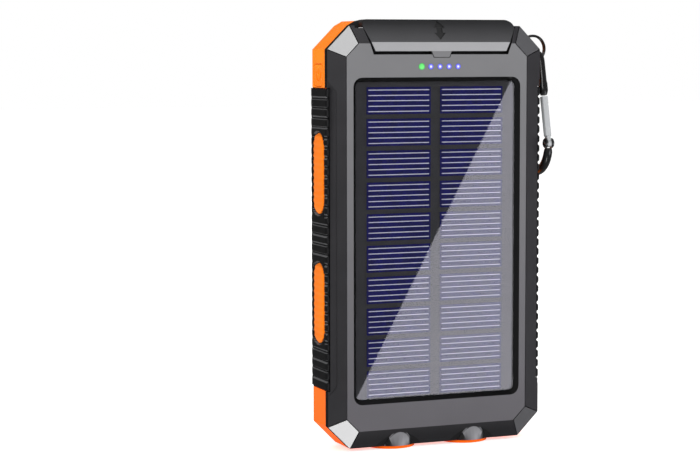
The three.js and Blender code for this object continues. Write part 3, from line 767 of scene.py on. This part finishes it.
def rear_details():
    """Cutters for the rear face: two shallow fields, and the slots beside them."""
    trough = [(-20, 9.8), (20, 9.8), (23.5, 18.6), (-23.5, 18.6)]
    right = [(19, 50.5), (26, 57.5), (26, 124), (19, 131)]
    field = right + [(-x, z) for x, z in reversed(right)]
    shallow = [prism(outline, "y", FACE_Y - 0.3, FACE_Y + 1) for outline in (trough, field)]
    slots = [prism(capsule((-16.8, 14), (16.8, 14), 0.85), "y", FACE_Y - 0.9, FACE_Y + 1)]
    for side in SIDES.values():
        for start, end, radius in (((26.7, 9.2), (30, 12.6), 0.55), ((20, 20.4), (28.4, 21.9), 0.6)):
            ends = [(side * x, z) for x, z in (start, end)]
            slots.append(prism(capsule(*ends, radius), "y", FACE_Y - 0.7, FACE_Y + 1))
    return group(shallow), group(slots)


def rear_shell():
    shell = from_cad("rear_shell", "rear_shell_piece")
    cut(shell, *rear_details(), rear_ribs(), side_steps(REAR), *edge_lines(REAR), dome_scoops(REAR))
    paint(shell, *SHELL_FINISHES, rule=shell_region(REAR))
    complete(shell, "shell", ["rear_shell"], smooth=24)


def screws():
    for i in range(1, 5):
        node = f"case_screw_{i}"
        low, high = span(node)
        centre, head = middle(node), high.y
        shank, rim, under = 0.95, 2.0, head - 1.4
        profile = [(shank, low.y), (shank, under), (rim, under), (rim, head - 0.5), (1.7, head - 0.15)]
        solid = turned(profile + [(1.1, head)], (centre.x, 0, centre.z), "y", 32)
        screw = mesh_object(f"screw_{i}", solid)
        for turn in (0, 90):
            bar = block(-1.25, 1.25, head - 0.8, head + 1, -0.3, 0.3)
            spin = Matrix.Rotation(math.radians(turn + 20 * i), 3, "Y")
            bmesh.ops.rotate(bar, matrix=spin, verts=bar.verts)
            bmesh.ops.translate(bar, vec=(centre.x, 0, centre.z), verts=bar.verts)
            cut(screw, bar)
        complete(paint(screw, "steel"), "steel", [node], bevel=0.06)


def frame_band():
    """The orange frame, black where its lips meet the shells, a dark joint deepened by painted shade, and
    black under the foot between the bezels as painted shade.
    """
    def region(centre, normal):
        joint = abs(normal.y) > 0.9 and abs(abs(centre.y) - BAND_Y) < 0.1
        # the foot between the bezels is painted black: painted shade
        foot = abs(centre.y) < 1.6 and centre.z < 1 and abs(centre.x) < LIGHT_X
        return "gap" if joint or foot else "orange"

    band = paint(from_cad("mid_frame", "frame_band"), "orange", "gap", rule=region)
    complete(band, "orange_plastic", ["mid_frame"], smooth=24)


# ---- grips
def smoothstep(low, high, value):
    t = min(1, max(0, (value - low) / (high - low)))
    return t * t * (3 - 2 * t)


COLUMNS = [math.sin(math.pi / 2 * i / 17) for i in range(-17, 18)]
GRIP = {"row": 0.24, "scallop": 0.3, "rib": 0.5, "side_rib": 0.45, "round": 0.3, "end": 0.25, "lean": 0.42}
PAD = {"steps": 150, "lift": 0.15, "width": 0.92, "rib_pitch": 2.15, "rib": 0.16, "wave": 0.05}


def grip(side):
    """One side's rubber: lobes along both edges, ribs across, and a moat round each orange pad."""
    name = f"{side}_grip"
    low, high = span(name)
    sign = SIDES[side]
    inner, outer = sorted((abs(low.x), abs(high.x)))
    half = high.y
    pads = [span(f"{side}_grip_pad_{where}") for where in PAD_PLACES]
    pad_half = pads[0][1].y
    lobes = math.floor((high.z - low.z) / LOBE_PITCH)
    first = (low.z + high.z - lobes * LOBE_PITCH) / 2

    def groove(z, edge):
        """1 at the middle of a groove between lobes, and 0 on a lobe."""
        away = abs((z - first + LOBE_PITCH / 2) % LOBE_PITCH - LOBE_PITCH / 2)
        return 1 - smoothstep(*edge, away)

    def row(z):
        """The grip's outline at a height, from one edge over its face to the other."""
        near = min(max(a.z - z, z - b.z, 0) for a, b in pads)
        from_end = min(z - low.z, high.z - z)
        crossing = smoothstep(1.4, 1.9, near) * smoothstep(1.9, 2.4, from_end)
        edge = half - GRIP["scallop"] * groove(z, (0.1, 1.1)) * smoothstep(1.2, 2.6, from_end)
        points = []
        for u in COLUMNS:
            y = u * edge
            x = outer - GRIP["rib"] * crossing * groove(z, (0.3, 0.5))
            beside = smoothstep(pad_half + 0.5, pad_half + 1.1, abs(y)) * (1 - crossing)
            x -= GRIP["side_rib"] * beside * groove(z, (0.25, 0.75)) * (near < 1.4)
            x -= GRIP["round"] * smoothstep(0.86, 1, abs(u))
            x -= GRIP["end"] * (1 - smoothstep(0, 0.7, from_end))
            for a, b in pads:
                spine = min(max(z, a.z + pad_half), b.z - pad_half)
                away = math.hypot(y, z - spine) - pad_half
                x = min(x, inner + 0.1 + (outer - inner) * smoothstep(0.3, 0.8, away))
            lean = GRIP["lean"] * max(0, y - BAND_Y + 0.4)
            points.append((sign * max(inner + 0.08, x - lean), y, z))
        return [(sign * inner, -edge, z)] + points + [(sign * inner, edge, z)]

    steps = round((high.z - low.z) / GRIP["row"])
    rows = [row(low.z + (high.z - low.z) * i / steps) for i in range(steps + 1)]

    # the walls of the ribs across are painted light grey: painted highlight lines along the grooves
    def region(centre, normal):
        wall = abs(normal.z) > 0.55 and low.z + 2 < centre.z < high.z - 2
        return "rubber_painted_highlight" if wall and abs(centre.y) < half - 0.5 else "rubber"

    rubber = mesh_object(f"{side}_grip_rubber", loft(rows))
    paint(rubber, "rubber", "rubber_painted_highlight", rule=region)
    complete(rubber, "grip_rubber", [name], smooth=50)


def grip_pad(side, where):
    """An orange pad: a round-ended bar with fine ribs across it."""
    node = f"{side}_grip_pad_{where}"
    low, high = span(node)
    sign = SIDES[side]
    inner, outer = sorted((abs(low.x), abs(high.x)))
    inner += PAD["lift"]
    half, steps = high.y * PAD["width"], PAD["steps"]
    rows = []
    for i in range(steps + 1):
        t = -math.cos(math.pi * i / steps)
        z = (low.z + high.z) / 2 + t * (high.z - low.z) / 2 * 0.999
        from_end = min(z - low.z, high.z - z)
        width = half if from_end >= half else math.sqrt(max(half ** 2 - (half - from_end) ** 2, 0.01))
        wave = 0.5 - 0.5 * math.cos(2 * math.pi * (z - low.z) / PAD["rib_pitch"])
        width *= 1 - PAD["wave"] * wave
        share = min(1, 0.35 + 0.65 * smoothstep(0, 1.2, from_end))
        height = (outer - inner - PAD["lift"]) * share - PAD["rib"] * wave
        ring = [(sign * inner, -width, z)]
        for k in range(19):
            a = math.pi * k / 18
            ring.append((sign * (inner + 0.02 + height * math.sin(a) ** 0.4), -width * math.cos(a), z))
        rows.append(ring + [(sign * inner, width, z)])
    add_piece(f"{side}_pad_{where}", loft(rows), "orange_rubber", "orange_rubber", [node], smooth=60)


# ---- port cover
CROWN = [(-8.9, 140.9), (-7.5, 143.4), (-5.4, 144.9)]
PLUG_FOOT = 141.0
ARROW = {"x": 1.0, "low": 138.1, "high": 144.4, "head": 2.3, "barb": 2.1, "stem": 1.05, "depth": 0.28}


def curve_through(points, steps=4):
    """A smooth line through points, by the Catmull-Rom rule."""
    out = []
    for i in range(len(points) - 1):
        p0, p1, p2, p3 = (Vector(points[min(max(i + k, 0), len(points) - 1)]) for k in (-1, 0, 1, 2))
        for step in range(steps):
            t = step / steps
            out.append(0.5 * (2 * p1 + (p2 - p0) * t + (2 * p0 - 5 * p1 + 4 * p2 - p3) * t ** 2
                              + (3 * p1 - p0 - 3 * p2 + p3) * t ** 3))
    return [tuple(p) for p in out] + [tuple(points[-1])]


def cover_front(inset=0.0):
    """The cover's front line, from its lower edge over the crease and the crown, moved in by an inset."""
    crown = curve_through([(-FACE_Y, COVER_CREASE), *CROWN])
    return [(y + inset, z - inset * 0.5) for y, z in [(-FACE_Y, COVER_BOTTOM - inset), *crown]]


def arrow_cutter():
    """A double-headed arrow, cut to a shallow depth that follows the cover's front line."""
    low, high, head, barb, stem = (ARROW[key] for key in ("low", "high", "head", "barb", "stem"))
    lower = [(0, low), (barb, low + head), (stem, low + head)]
    right = lower + [(stem, high - head), (barb, high - head), (0, high)]
    outline = [(ARROW["x"] + a, b) for a, b in right]
    outline += [(ARROW["x"] - a, b) for a, b in reversed(right[1:-1])]
    line = cover_front(ARROW["depth"])
    above, before = COVER_HIGH.z + 5, -FACE_Y - 3
    outside = [(line[-1][0], above), (before, above), (before, line[0][1])]
    return common(prism(outline, "y", -FACE_Y - 1, 0), prism(line + outside, "x", -9, 9))


def inside_mark(centre):
    """True where a point of the cover lies below its outer line, as the floor of the arrow does."""
    line = cover_front(0.1)
    for (y0, z0), (y1, z1) in zip(line, line[1:]):
        if z0 <= centre.z <= z1:
            return centre.y > y0 + (y1 - y0) * (centre.z - z0) / (z1 - z0)
    return False


def port_cover():
    """The soft cover: a bar over the socket end with a finger tab, plugs for the sockets and an arrow."""
    top, back, under, mid = COVER_HIGH.z, COVER_HIGH.y, COVER_UNDER, COVER_MIDDLE
    roof = [(-1.5, top - 0.1), (3, top - 0.8)]
    rear = [(back - 0.9, COVER_REAR_TOP + 0.1), (back, COVER_REAR_TOP - 0.3), (back, under)]
    front = [(COVER_LIP_BACK, COVER_BOTTOM), *cover_front()]
    section = [*front, *roof, *rear, (COVER_LIP_BACK, under)]
    wide = COVER_HIGH.x - mid
    cover = mesh_object("cover_shell", prism(section, "x", mid - wide, mid + wide))
    low_half = wide - COVER_SLOPE * (top - COVER_BOTTOM)
    round_off = 2.4
    shoulder = arc((wide - round_off, top - round_off), round_off, -10, 90, 6)
    right = [(low_half, COVER_BOTTOM), *shoulder]
    outline = [(mid + a, b) for a, b in right] + [(mid - a, b) for a, b in reversed(right)]
    combine(cover, prism(outline, "y", -FACE_Y - 1, FACE_Y + 1), "INTERSECT")
    foot, root = 132.3, COVER_BOTTOM + 0.3
    tab = [(mid - 2.8, foot), (mid + 2.8, foot), (mid + 3.8, root), (mid - 3.8, root)]
    join(cover, prism(tab, "y", -FACE_Y, -8.7))
    plug_half, wall = 5.8, 0.9
    for side in SIDES.values():
        x = middle("usb_socket_right").x * side
        plug = rounded_rectangle(x - plug_half, x + plug_half, -2.7, 1.3, 0.5)
        join(cover, prism(plug, "z", PLUG_FOOT, under + 0.3))
        hollow = rounded_rectangle(x - plug_half + wall, x + plug_half - wall, -1.8, 0.4, 0.4)
        cut(cover, prism(hollow, "z", PLUG_FOOT - 1, under + 0.5))
    join(cover, prism(rounded_rectangle(-2.9, 2.9, -2.8, -1.8, 0.3), "z", PLUG_FOOT, under + 0.3))
    cut(cover, arrow_cutter())

    # the tab takes the shell face's grey and the flat front a light grey, painted light against the crown's
    # painted shade
    def region(centre, normal):
        if centre.z < COVER_BOTTOM + 0.1 and abs(centre.x - mid) < 4 and centre.y < -9.9:
            return "face"
        if normal.y < -0.99 and centre.y < -FACE_Y + 0.05:
            return "cover_strip"
        near = abs(centre.x - ARROW["x"]) < 2.3 and 138 < centre.z < 144.5 and centre.y < -5
        return "arrow" if near and inside_mark(centre) else "cover"

    paint(cover, "cover", "cover_strip", "face", "arrow", rule=region)
    complete(cover, "cover_rubber", ["port_cover"], "port_cover", bevel=0.18, angle=24)


def cover_strap():
    """The living hinge: a thin strip from the anchor on the rear bevel to the cover's back edge."""
    copy_piece("port_cover_anchor", "cover_anchor", "cover", "cover_rubber", bevel=0.15)
    y, z = 8.7, COVER_UNDER
    line = curve_through([(y + 0.1, z - 1.0), (y + 0.35, z - 0.3), (y + 0.15, z + 0.2), (y - 0.5, z + 0.4)])
    width = span("port_cover_anchor")[1].x - 0.6

    def section(share):
        thin = 0.28 + 0.12 * abs(share - 0.5)
        return rounded_rectangle(-thin, thin, -width, width, 0.12, 2)

    strap = paint(mesh_object("cover_strap", sweep([(0, y, z) for y, z in line], section)), "cover")
    to_metres(strap.data)
    strap.data.set_sharp_from_angle(angle=math.radians(50))
    start, end = (Vector((0, y, z)) * MM for y, z in (line[0], line[-1]))
    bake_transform(strap, "case", "port_cover", start=start, end=end)


# ---- solar panel and status lights
CELL = {"columns": 2, "rows": 10, "width": 23.4, "height": 9.1}
FINGER = {"count": 5, "first": 1.0, "pitch": 1.79, "inset": 0.75, "radius": 0.145}


def solar_panel():
    """Twenty cells with five printed fingers each, on a black board and under a clear sheet."""
    low, high = span("solar_cell_string")
    pitch_x = high.x - low.x - CELL["width"]
    pitch_z = (high.z - low.z - CELL["height"]) / (CELL["rows"] - 1)
    half = CELL["width"] / 2
    reach = half - FINGER["inset"]
    cells, prints = [], []
    for column in range(CELL["columns"]):
        x = (column - 0.5) * pitch_x
        for row in range(CELL["rows"]):
            top = high.z - row * pitch_z
            outline = rounded_rectangle(x - half, x + half, top - CELL["height"], top, 0.12, 2)
            cells.append(prism(outline, "y", low.y + 0.03, high.y))
            for finger in range(FINGER["count"]):
                z = top - FINGER["first"] - finger * FINGER["pitch"]
                stroke = capsule((x - reach, z), (x + reach, z), FINGER["radius"], 3)
                prints.append(prism(stroke, "y", low.y - 0.02, low.y + 0.08))
    string = ["solar_cell_string"]
    add_piece("solar_cells", group(cells), "silicon", "solar_cell", string, bevel=0.04, segments=1)
    add_piece("cell_fingers", group(prints), "silver", "steel", smooth=30)
    copy_piece("solar_backing_board", "panel_board", "board_black", "panel_board", bevel=0.05)
    copy_piece("solar_cover_sheet", "panel_sheet", "sheet", "clear_sheet", smooth=20)


def status_lights():
    """One green light pipe and four blue ones, each a low dome flush with the face."""
    for i in range(1, 6):
        node = f"status_light_pipe_{i}"
        low, high = span(node)
        centre, front = middle(node), low.y
        radius = (high.x - low.x) / 2
        colour = "green" if i == 1 else "blue"
        flange = 1.25 if i == 1 else 1.1
        profile = [(radius, high.y), (radius, front + 0.02), (flange, front), (flange - 0.05, front - 0.05)]
        dome = [(radius, front - 0.07), (radius * 0.7, front - 0.14), (radius * 0.3, front - 0.17)]
        pipe = mesh_object(f"status_lens_{i}", turned(profile + dome, (centre.x, 0, centre.z), "y", 32))
        paint(pipe, f"led_{colour}")
        origin = (centre.x, front, centre.z)
        complete(pipe, f"{colour}_light", [node], smooth=60, origin=origin)


# ---- flashlight
LED_FACE = 9.15


def led_region(centre, normal):
    return "phosphor" if centre.z < LED_FACE else "plastic_white"


def flashlights():
    """Two lamps, each a clear lens, a plated bowl and an LED."""
    for side in SIDES:
        lens = f"flashlight_lens_{side}"
        x = middle(lens).x
        low, high = span(lens)
        radius = (high.x - low.x) / 2
        bulge = [(r, low.z + 0.04 * (r / 5.5) ** 2) for r in (0.6, 2.2, 3.8, 5.3)]
        rim = [(5.5, low.z + 0.12), (5.5, low.z + 0.3), (radius - 0.1, low.z + 0.3), (radius, low.z + 0.42)]
        back = [(radius, high.z - 0.1), (radius - 0.1, high.z), (0.6, high.z)]
        solid = turned(bulge + rim + back, (x, 0, 0))
        add_piece(f"torch_lens_{side}", solid, "torch_glass", "clear_lens", [lens], smooth=30)

        bowl = f"flashlight_reflector_{side}"
        low, high = span(bowl)
        wide, depth, steps = (high.x - low.x) / 2, high.z - low.z, 12
        shares = [i / steps for i in range(steps + 1)]
        inside = [(wide - 0.5 - (wide - 2.8) * t, low.z + (depth - 0.4) * t ** 2) for t in shares]
        outside = [(2.3, high.z), (2.9, high.z), (wide, low.z + 0.6), (wide, low.z)]
        solid = turned(inside + outside, (x, 0, 0), closed=True)
        add_piece(f"torch_reflector_{side}", solid, "chrome", "reflector", [bowl], smooth=35)

        led = from_cad(f"flashlight_led_{side}", f"torch_led_{side}")
        paint(led, "plastic_white", "phosphor", rule=led_region)
        complete(led, "led", [f"flashlight_led_{side}"], bevel=0.12)


# ---- power button
def power_button():
    """The cap with its sunk power symbol, and the switch's plunger behind it."""
    button = from_cad("power_button", "button_cap")
    face = span("power_button")[0].x
    y, z = middle("power_button").y, middle("power_button").z
    ring, stroke, gap, depth = 1.75, 0.26, 38, 0.22
    outside = arc((y, z), ring + stroke, 90 + gap, 450 - gap, 28)
    inside = arc((y, z), ring - stroke, 90 + gap, 450 - gap, 28)
    cut(button, prism(outside + inside[::-1], "x", face - 1, face + depth))
    cut(button, prism(capsule((y, z + 0.5), (y, z + 2.1), stroke), "x", face - 1, face + depth))
    complete(paint(button, "orange"), "orange_plastic", ["power_button"], "power_button", bevel=0.12)
    node = "power_switch_plunger"
    low, high = span(node)
    profile = [(0.6, low.x), (0.95, low.x + 0.25), (0.95, high.x - 0.2), (0.75, high.x)]
    rod = turned(profile, (0, middle(node).y, middle(node).z), "x", 24)
    body = "power_button"
    add_piece("switch_plunger", rod, "plastic_white", "white_plastic", [node], body=body, smooth=30)


# ---- ring and carabiner
def split_ring():
    """Two turns of flat wire side by side, stepping across from one to the other."""
    low, high = span("split_ring")
    centre = middle("split_ring")
    radius, half = (high.x - low.x) / 2 - 0.4, (high.y - low.y) / 2
    steps = 168
    points = []
    for i in range(steps + 1):
        turn = 2 * i / steps
        across = half / 2 * (2 * smoothstep(0.86, 1.14, turn) - 1)
        angle = math.radians(100) + 2 * math.pi * turn * 0.995
        points.append(centre + Vector((radius * math.cos(angle), across, radius * math.sin(angle))))

    def section(share):
        """The wire, thinner at both of its ends."""
        taper = 0.55 + 0.45 * min(1, 12 * min(share, 1 - share))
        return rounded_rectangle(-0.37 * taper, 0.37 * taper, -0.37 * taper, 0.37 * taper, 0.17 * taper, 3)

    ring, node = sweep(points, section), "split_ring"
    add_piece("ring_wire", ring, "black_metal", "black_metal", [node], body=node, smooth=40)


HOOK = {"section": 1.5, "top_radius": 3.1, "bottom_radius": 9.4, "pivot": 176, "nose": 119.1}


def hook_line():
    """The pear-shaped line of the carabiner in its (y, z) plane, from the pivot round to the nose."""
    low, high = span("carabiner_body")
    section, small, large = HOOK["section"], HOOK["top_radius"], HOOK["bottom_radius"]
    y = high.y - section - large
    z_low, z_high = low.z + section + large, high.z - section - small
    lean = math.degrees(math.asin((large - small) / (z_high - z_low)))
    lower = arc((y, z_low), large, HOOK["pivot"] + 8, 360 + lean, 40)
    upper = arc((y, z_high), small, lean, 180 - lean, 20)
    foot = arc((y, z_low), large, 180 - lean, 180 - lean, 1)[0]
    share = (upper[-1][1] - HOOK["nose"]) / (upper[-1][1] - foot[1])
    nose = tuple(a + (b - a) * share for a, b in zip(upper[-1], foot))
    pivot = arc((y, z_low), large, HOOK["pivot"], HOOK["pivot"], 1)[0]
    return lower + upper + [nose], pivot


def even_line(points, count):
    """The same line with evenly spaced points."""
    lengths = [0]
    for a, b in zip(points, points[1:]):
        lengths.append(lengths[-1] + math.dist(a, b))
    out, k = [], 0
    for i in range(count + 1):
        want = lengths[-1] * i / count
        while k < len(points) - 2 and lengths[k + 1] < want:
            k += 1
        t = (want - lengths[k]) / (lengths[k + 1] - lengths[k])
        out.append(tuple(a + (b - a) * t for a, b in zip(points[k], points[k + 1])))
    return out


def pin_profile(end, shank, chamfer, start, stop):
    """Half the section of a pin with chamfered ends, as (radius, height) points."""
    return [(end, start), (shank, start + chamfer), (shank, stop - chamfer), (end, stop)]


def carabiner():
    """The hook, forked round its gate's foot, with the gate and its rivet."""
    line, (py, pz) = hook_line()
    x = middle("carabiner_body").x
    r = HOOK["section"]

    def section(share):
        """A round wire, flattened to the CAD's thickness, slim at its ends and stepped near the nose."""
        radius = r * (1 + 0.06 * math.sin(math.pi * min(1, share * 2.2)))
        end = min(share * 40, (1 - share) * 60, 1)
        radius *= 0.72 + 0.28 * math.sin(math.pi / 2 * end)
        if 0.945 < share < 0.985:
            radius *= 1.1
        return [(min(max(a, -r), r), b) for a, b in circle((0, 0), radius, 20)]

    points = [(x, y, z) for y, z in even_line(line, 96)]
    hook = mesh_object("carabiner_hook", sweep(points, section))
    cheeks = [(1.55, -r), (1.72, -r + 0.2), (1.72, r - 0.2), (1.55, r)]
    join(hook, turned(cheeks, (x, py, pz), "x", 32))
    cut(hook, block(x - 0.92, x + 0.92, py - 2.6, py + 2.6, pz - 1.7, pz + 3))
    cut(hook, prism(circle((py, pz), 0.6, 20), "x", x - 4, x + 4))
    paint(hook, "black_metal")
    complete(hook, "black_metal", ["carabiner_body"], "carabiner", smooth=32)
    gate, pin = "carabiner_gate", "carabiner_gate_pin"
    copy_piece(gate, "gate_lever", "gate_silver", "gate_metal", body=gate, bevel=0.22, segments=3)
    low, high = span(pin)
    rivet = turned(pin_profile(0.4, 0.52, 0.1, low.x, high.x), (0, py, pz), "x", 24)
    add_piece("gate_rivet", rivet, "steel", "steel", [pin], body="carabiner", smooth=30)


def lanyard_pin():
    low, high = span("lanyard_pin")
    centre = middle("lanyard_pin")
    bar = turned(pin_profile(0.55, 0.7, 0.15, low.y, high.y), (centre.x, 0, centre.z), "y", 24)
    add_piece("lanyard_bar", bar, "steel", "steel", ["lanyard_pin"], smooth=30)


# ---- sockets and what is inside
def sockets():
    """Two USB-A sockets with their tongues and contacts, and a micro USB one."""
    for side in SIDES:
        copy_piece(f"usb_socket_{side}", f"usb_can_{side}", "steel", "steel", bevel=0.12)
        insert = f"usb_tongue_{side}"
        copy_piece(insert, f"usb_insert_{side}", "plastic_black", "black_plastic", bevel=0.1)
        low, high = span(f"usb_socket_{side}")
        x, face = (low.x + high.x) / 2, middle(insert).y - 0.3
        back = span(insert)[1].z - 0.8
        contacts = [
            block(x + across - 0.55, x + across + 0.55, face, -0.9, 131.5, back)
            for across in (-3.5, -1.2, 1.2, 3.5)
        ]
        add_piece(f"usb_contacts_{side}", group(contacts), "gold", "steel", bevel=0.04)
    copy_piece("micro_usb_socket", "micro_can", "steel", "steel", bevel=0.1)
    low, high = span("micro_usb_socket")
    y = middle("micro_usb_socket").y
    tongue = block(-2.1, 2.1, y - 0.1, y + 0.35, low.z + 0.5, high.z - 0.8)
    add_piece("micro_insert", tongue, "plastic_black", "black_plastic", bevel=0.06)


CARRIED = {
    "main_board": ("circuit", 0.05),
    "flashlight_board": ("circuit", 0.05),
    "boost_inductor": ("plastic_black", 0.2),
    "controller_chip": ("plastic_black", 0.08),
    "output_capacitor": ("foil", 0.25),
    "power_switch_body": ("plastic_black", 0.12),
    "battery_cell_front": ("foil", 0.3),
    "battery_cell_rear": ("foil", 0.3),
    "battery_adhesive_pad": ("foam", 0.2),
    "rear_foam_pad": ("foam", 0.2),
    "battery_lead": ("wire", 0.0),
    "solar_lead": ("wire", 0.0),
    "flashlight_lead": ("wire", 0.0),
}


def carried_nodes():
    """The pieces that stay as the frame made them: welded, with rounded edges and their own finish."""
    for node, (finish, width) in CARRIED.items():
        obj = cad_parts[node]
        obj.data.materials.clear()
        obj.data.materials.append(MATERIALS[finish])
        weld = obj.modifiers.new("weld", "WELD")
        weld.merge_threshold = 0.001 * MM
        if width:
            flat = obj.modifiers.new("flat", "DECIMATE")
            flat.decimate_type = "DISSOLVE"
            flat.angle_limit = math.radians(1)
            edges = obj.modifiers.new("edges", "BEVEL")
            edges.width = width * MM
            edges.segments = 2
            edges.limit_method = "ANGLE"
            edges.angle_limit = math.radians(30)


# ---- studio
CAMERA = {
    "at": (-284.24, -628.02, 134.11),
    "towards": (0.37620, 0.92219, -0.08966),
    "roll": 0.10,
    "lens": 103.8,
}
CARD_EDGE = [(27.85, 123.6), (-28.46, 19.3)]
LAMP_TARGET = (0, 0, 0.07)
WORLD_LIGHT, WORLD_REFLECTED = 0.62, 0.16


def camera():
    data = bpy.data.cameras.new("camera")
    data.lens = CAMERA["lens"]
    data.sensor_width = 36
    data.clip_start, data.clip_end = 0.01, 20
    obj = bpy.data.objects.new("camera", data)
    bpy.context.scene.collection.objects.link(obj)
    roll = Matrix.Rotation(math.radians(-CAMERA["roll"]), 3, "Z").to_quaternion()
    obj.rotation_mode = "QUATERNION"
    obj.rotation_quaternion = Vector(CAMERA["towards"]).to_track_quat("-Z", "Y") @ roll
    obj.location = Vector(CAMERA["at"]) * MM
    bpy.context.scene.camera = obj


def glow(name, colour, strength):
    material = bpy.data.materials.new(name)
    material.use_nodes = True
    tree = material.node_tree
    tree.nodes.clear()
    light = tree.nodes.new("ShaderNodeEmission")
    light.inputs["Color"].default_value = colour
    light.inputs["Strength"].default_value = strength
    tree.links.new(light.outputs[0], tree.nodes.new("ShaderNodeOutputMaterial").inputs["Surface"])
    return material


def card(name, corners, strength, colour=WHITE):
    """A reflector card that only glossy surfaces see, given by its corners in millimetres."""
    solid = bmesh.new()
    solid.faces.new([solid.verts.new(Vector(corner) * MM) for corner in corners])
    obj = mesh_object(name, solid)
    obj.data.materials.append(glow(name, colour, strength))
    obj.visible_camera = obj.visible_diffuse = obj.visible_shadow = False
    obj.visible_transmission = False


def panel_card():
    """The big card whose slanted edge the panel mirrors from corner to corner."""
    mirror_y, plane = PANEL_LOW.y, -420.0
    eye = Vector(CAMERA["at"])
    image = Vector((eye.x, 2 * mirror_y - eye.y, eye.z))

    def seen(x, z):
        """Where the line of sight that the panel mirrors at a point meets the card's plane."""
        reach = (plane - image.y) / (mirror_y - image.y)
        return image + (Vector((x, mirror_y, z)) - image) * reach

    top, low = (seen(*point) for point in CARD_EDGE)
    run = (top - low).normalized()
    top, low = top + run * 30, low - run * 60
    across = Vector((run.z, 0, -run.x)) * 260
    card("panel_card", [top, low, low + across, top + across], 2.9, (0.93, 0.92, 1.0, 1))


def facet_card(name, up, strength):
    """A small card that a left corner facet mirrors: the top facet with up = 1, the low one with -1."""
    rise, inset, distance, size = FACE_Y - EDGE_Y, 6.05, 150, 32
    lean = rise / math.sqrt(2)
    z = TOP - inset if up > 0 else BOTTOM + inset
    facet = Vector((inset - HALF_WIDTH, rise / 2 - FACE_Y, z))
    normal = Vector((-lean, -FACE_INSET, up * lean)).normalized()
    sight = (facet - Vector(CAMERA["at"])).normalized()
    heading = (sight - 2 * sight.dot(normal) * normal).normalized()
    centre = facet + heading * distance
    right = heading.cross(Vector((0, 0, 1))).normalized() * size
    above = right.cross(heading).normalized() * size
    corners = [centre + right + above, centre + right - above]
    corners += [centre - right - above, centre - right + above]
    card(name, corners, strength)


def lamp(name, at, size, watts):
    """A round area light, aimed at the middle of the charger, that leaves no glare of its own."""
    data = bpy.data.lights.new(name, "AREA")
    data.shape = "DISK"
    data.size = size
    data.energy = watts
    obj = bpy.data.objects.new(name, data)
    obj.location = at
    obj.rotation_mode = "QUATERNION"
    obj.rotation_quaternion = (Vector(LAMP_TARGET) - Vector(at)).to_track_quat("-Z", "Y")
    obj.visible_glossy = False
    bpy.context.scene.collection.objects.link(obj)


def white_world():
    """White to the camera, and dimmer as a light, most of all in reflections."""
    world = bpy.data.worlds.new("studio")
    bpy.context.scene.world = world
    world.use_nodes = True
    tree = world.node_tree
    background = tree.nodes["Background"]
    background.inputs["Color"].default_value = WHITE
    rays = tree.nodes.new("ShaderNodeLightPath")
    share = tree.nodes.new("ShaderNodeMapRange")
    share.inputs["To Min"].default_value = WORLD_LIGHT
    share.inputs["To Max"].default_value = WORLD_REFLECTED
    tree.links.new(rays.outputs["Is Glossy Ray"], share.inputs["Value"])
    seen = tree.nodes.new("ShaderNodeMix")
    tree.links.new(rays.outputs["Is Camera Ray"], seen.inputs[0])
    tree.links.new(share.outputs[0], seen.inputs[2])
    seen.inputs[3].default_value = 1.0
    tree.links.new(seen.outputs[0], background.inputs["Strength"])


def studio():
    bpy.context.scene.view_settings.view_transform = "Standard"
    white_world()
    floor = mesh_object("floor", prism([(-4, -4), (4, -4), (4, 4), (-4, 4)], "z", -0.02, 0))
    n = Nodes("floor_white")
    n.set(Base_Color=(0.9, 0.9, 0.9, 1), Roughness=0.9, Emission_Color=WHITE, Emission_Strength=0.55)
    floor.data.materials.append(n.material)
    floor.visible_glossy = False
    lamp("key", (-0.7, -1.1, 0.9), 0.7, 9)
    lamp("fill", (0.9, -0.9, 0.5), 0.8, 5)
    lamp("rear", (0.2, 1.2, 0.8), 0.8, 7)
    panel_card()
    facet_card("facet_card_top", 1, 4.4)
    facet_card("facet_card_low", -1, 6.2)


camera()
front_shell()
rear_shell()
screws()
frame_band()
for side in SIDES:
    grip(side)
    for where in PAD_PLACES:
        grip_pad(side, where)
port_cover()
cover_strap()
solar_panel()
status_lights()
flashlights()
power_button()
split_ring()
carabiner()
lanyard_pin()
sockets()
carried_nodes()
studio()
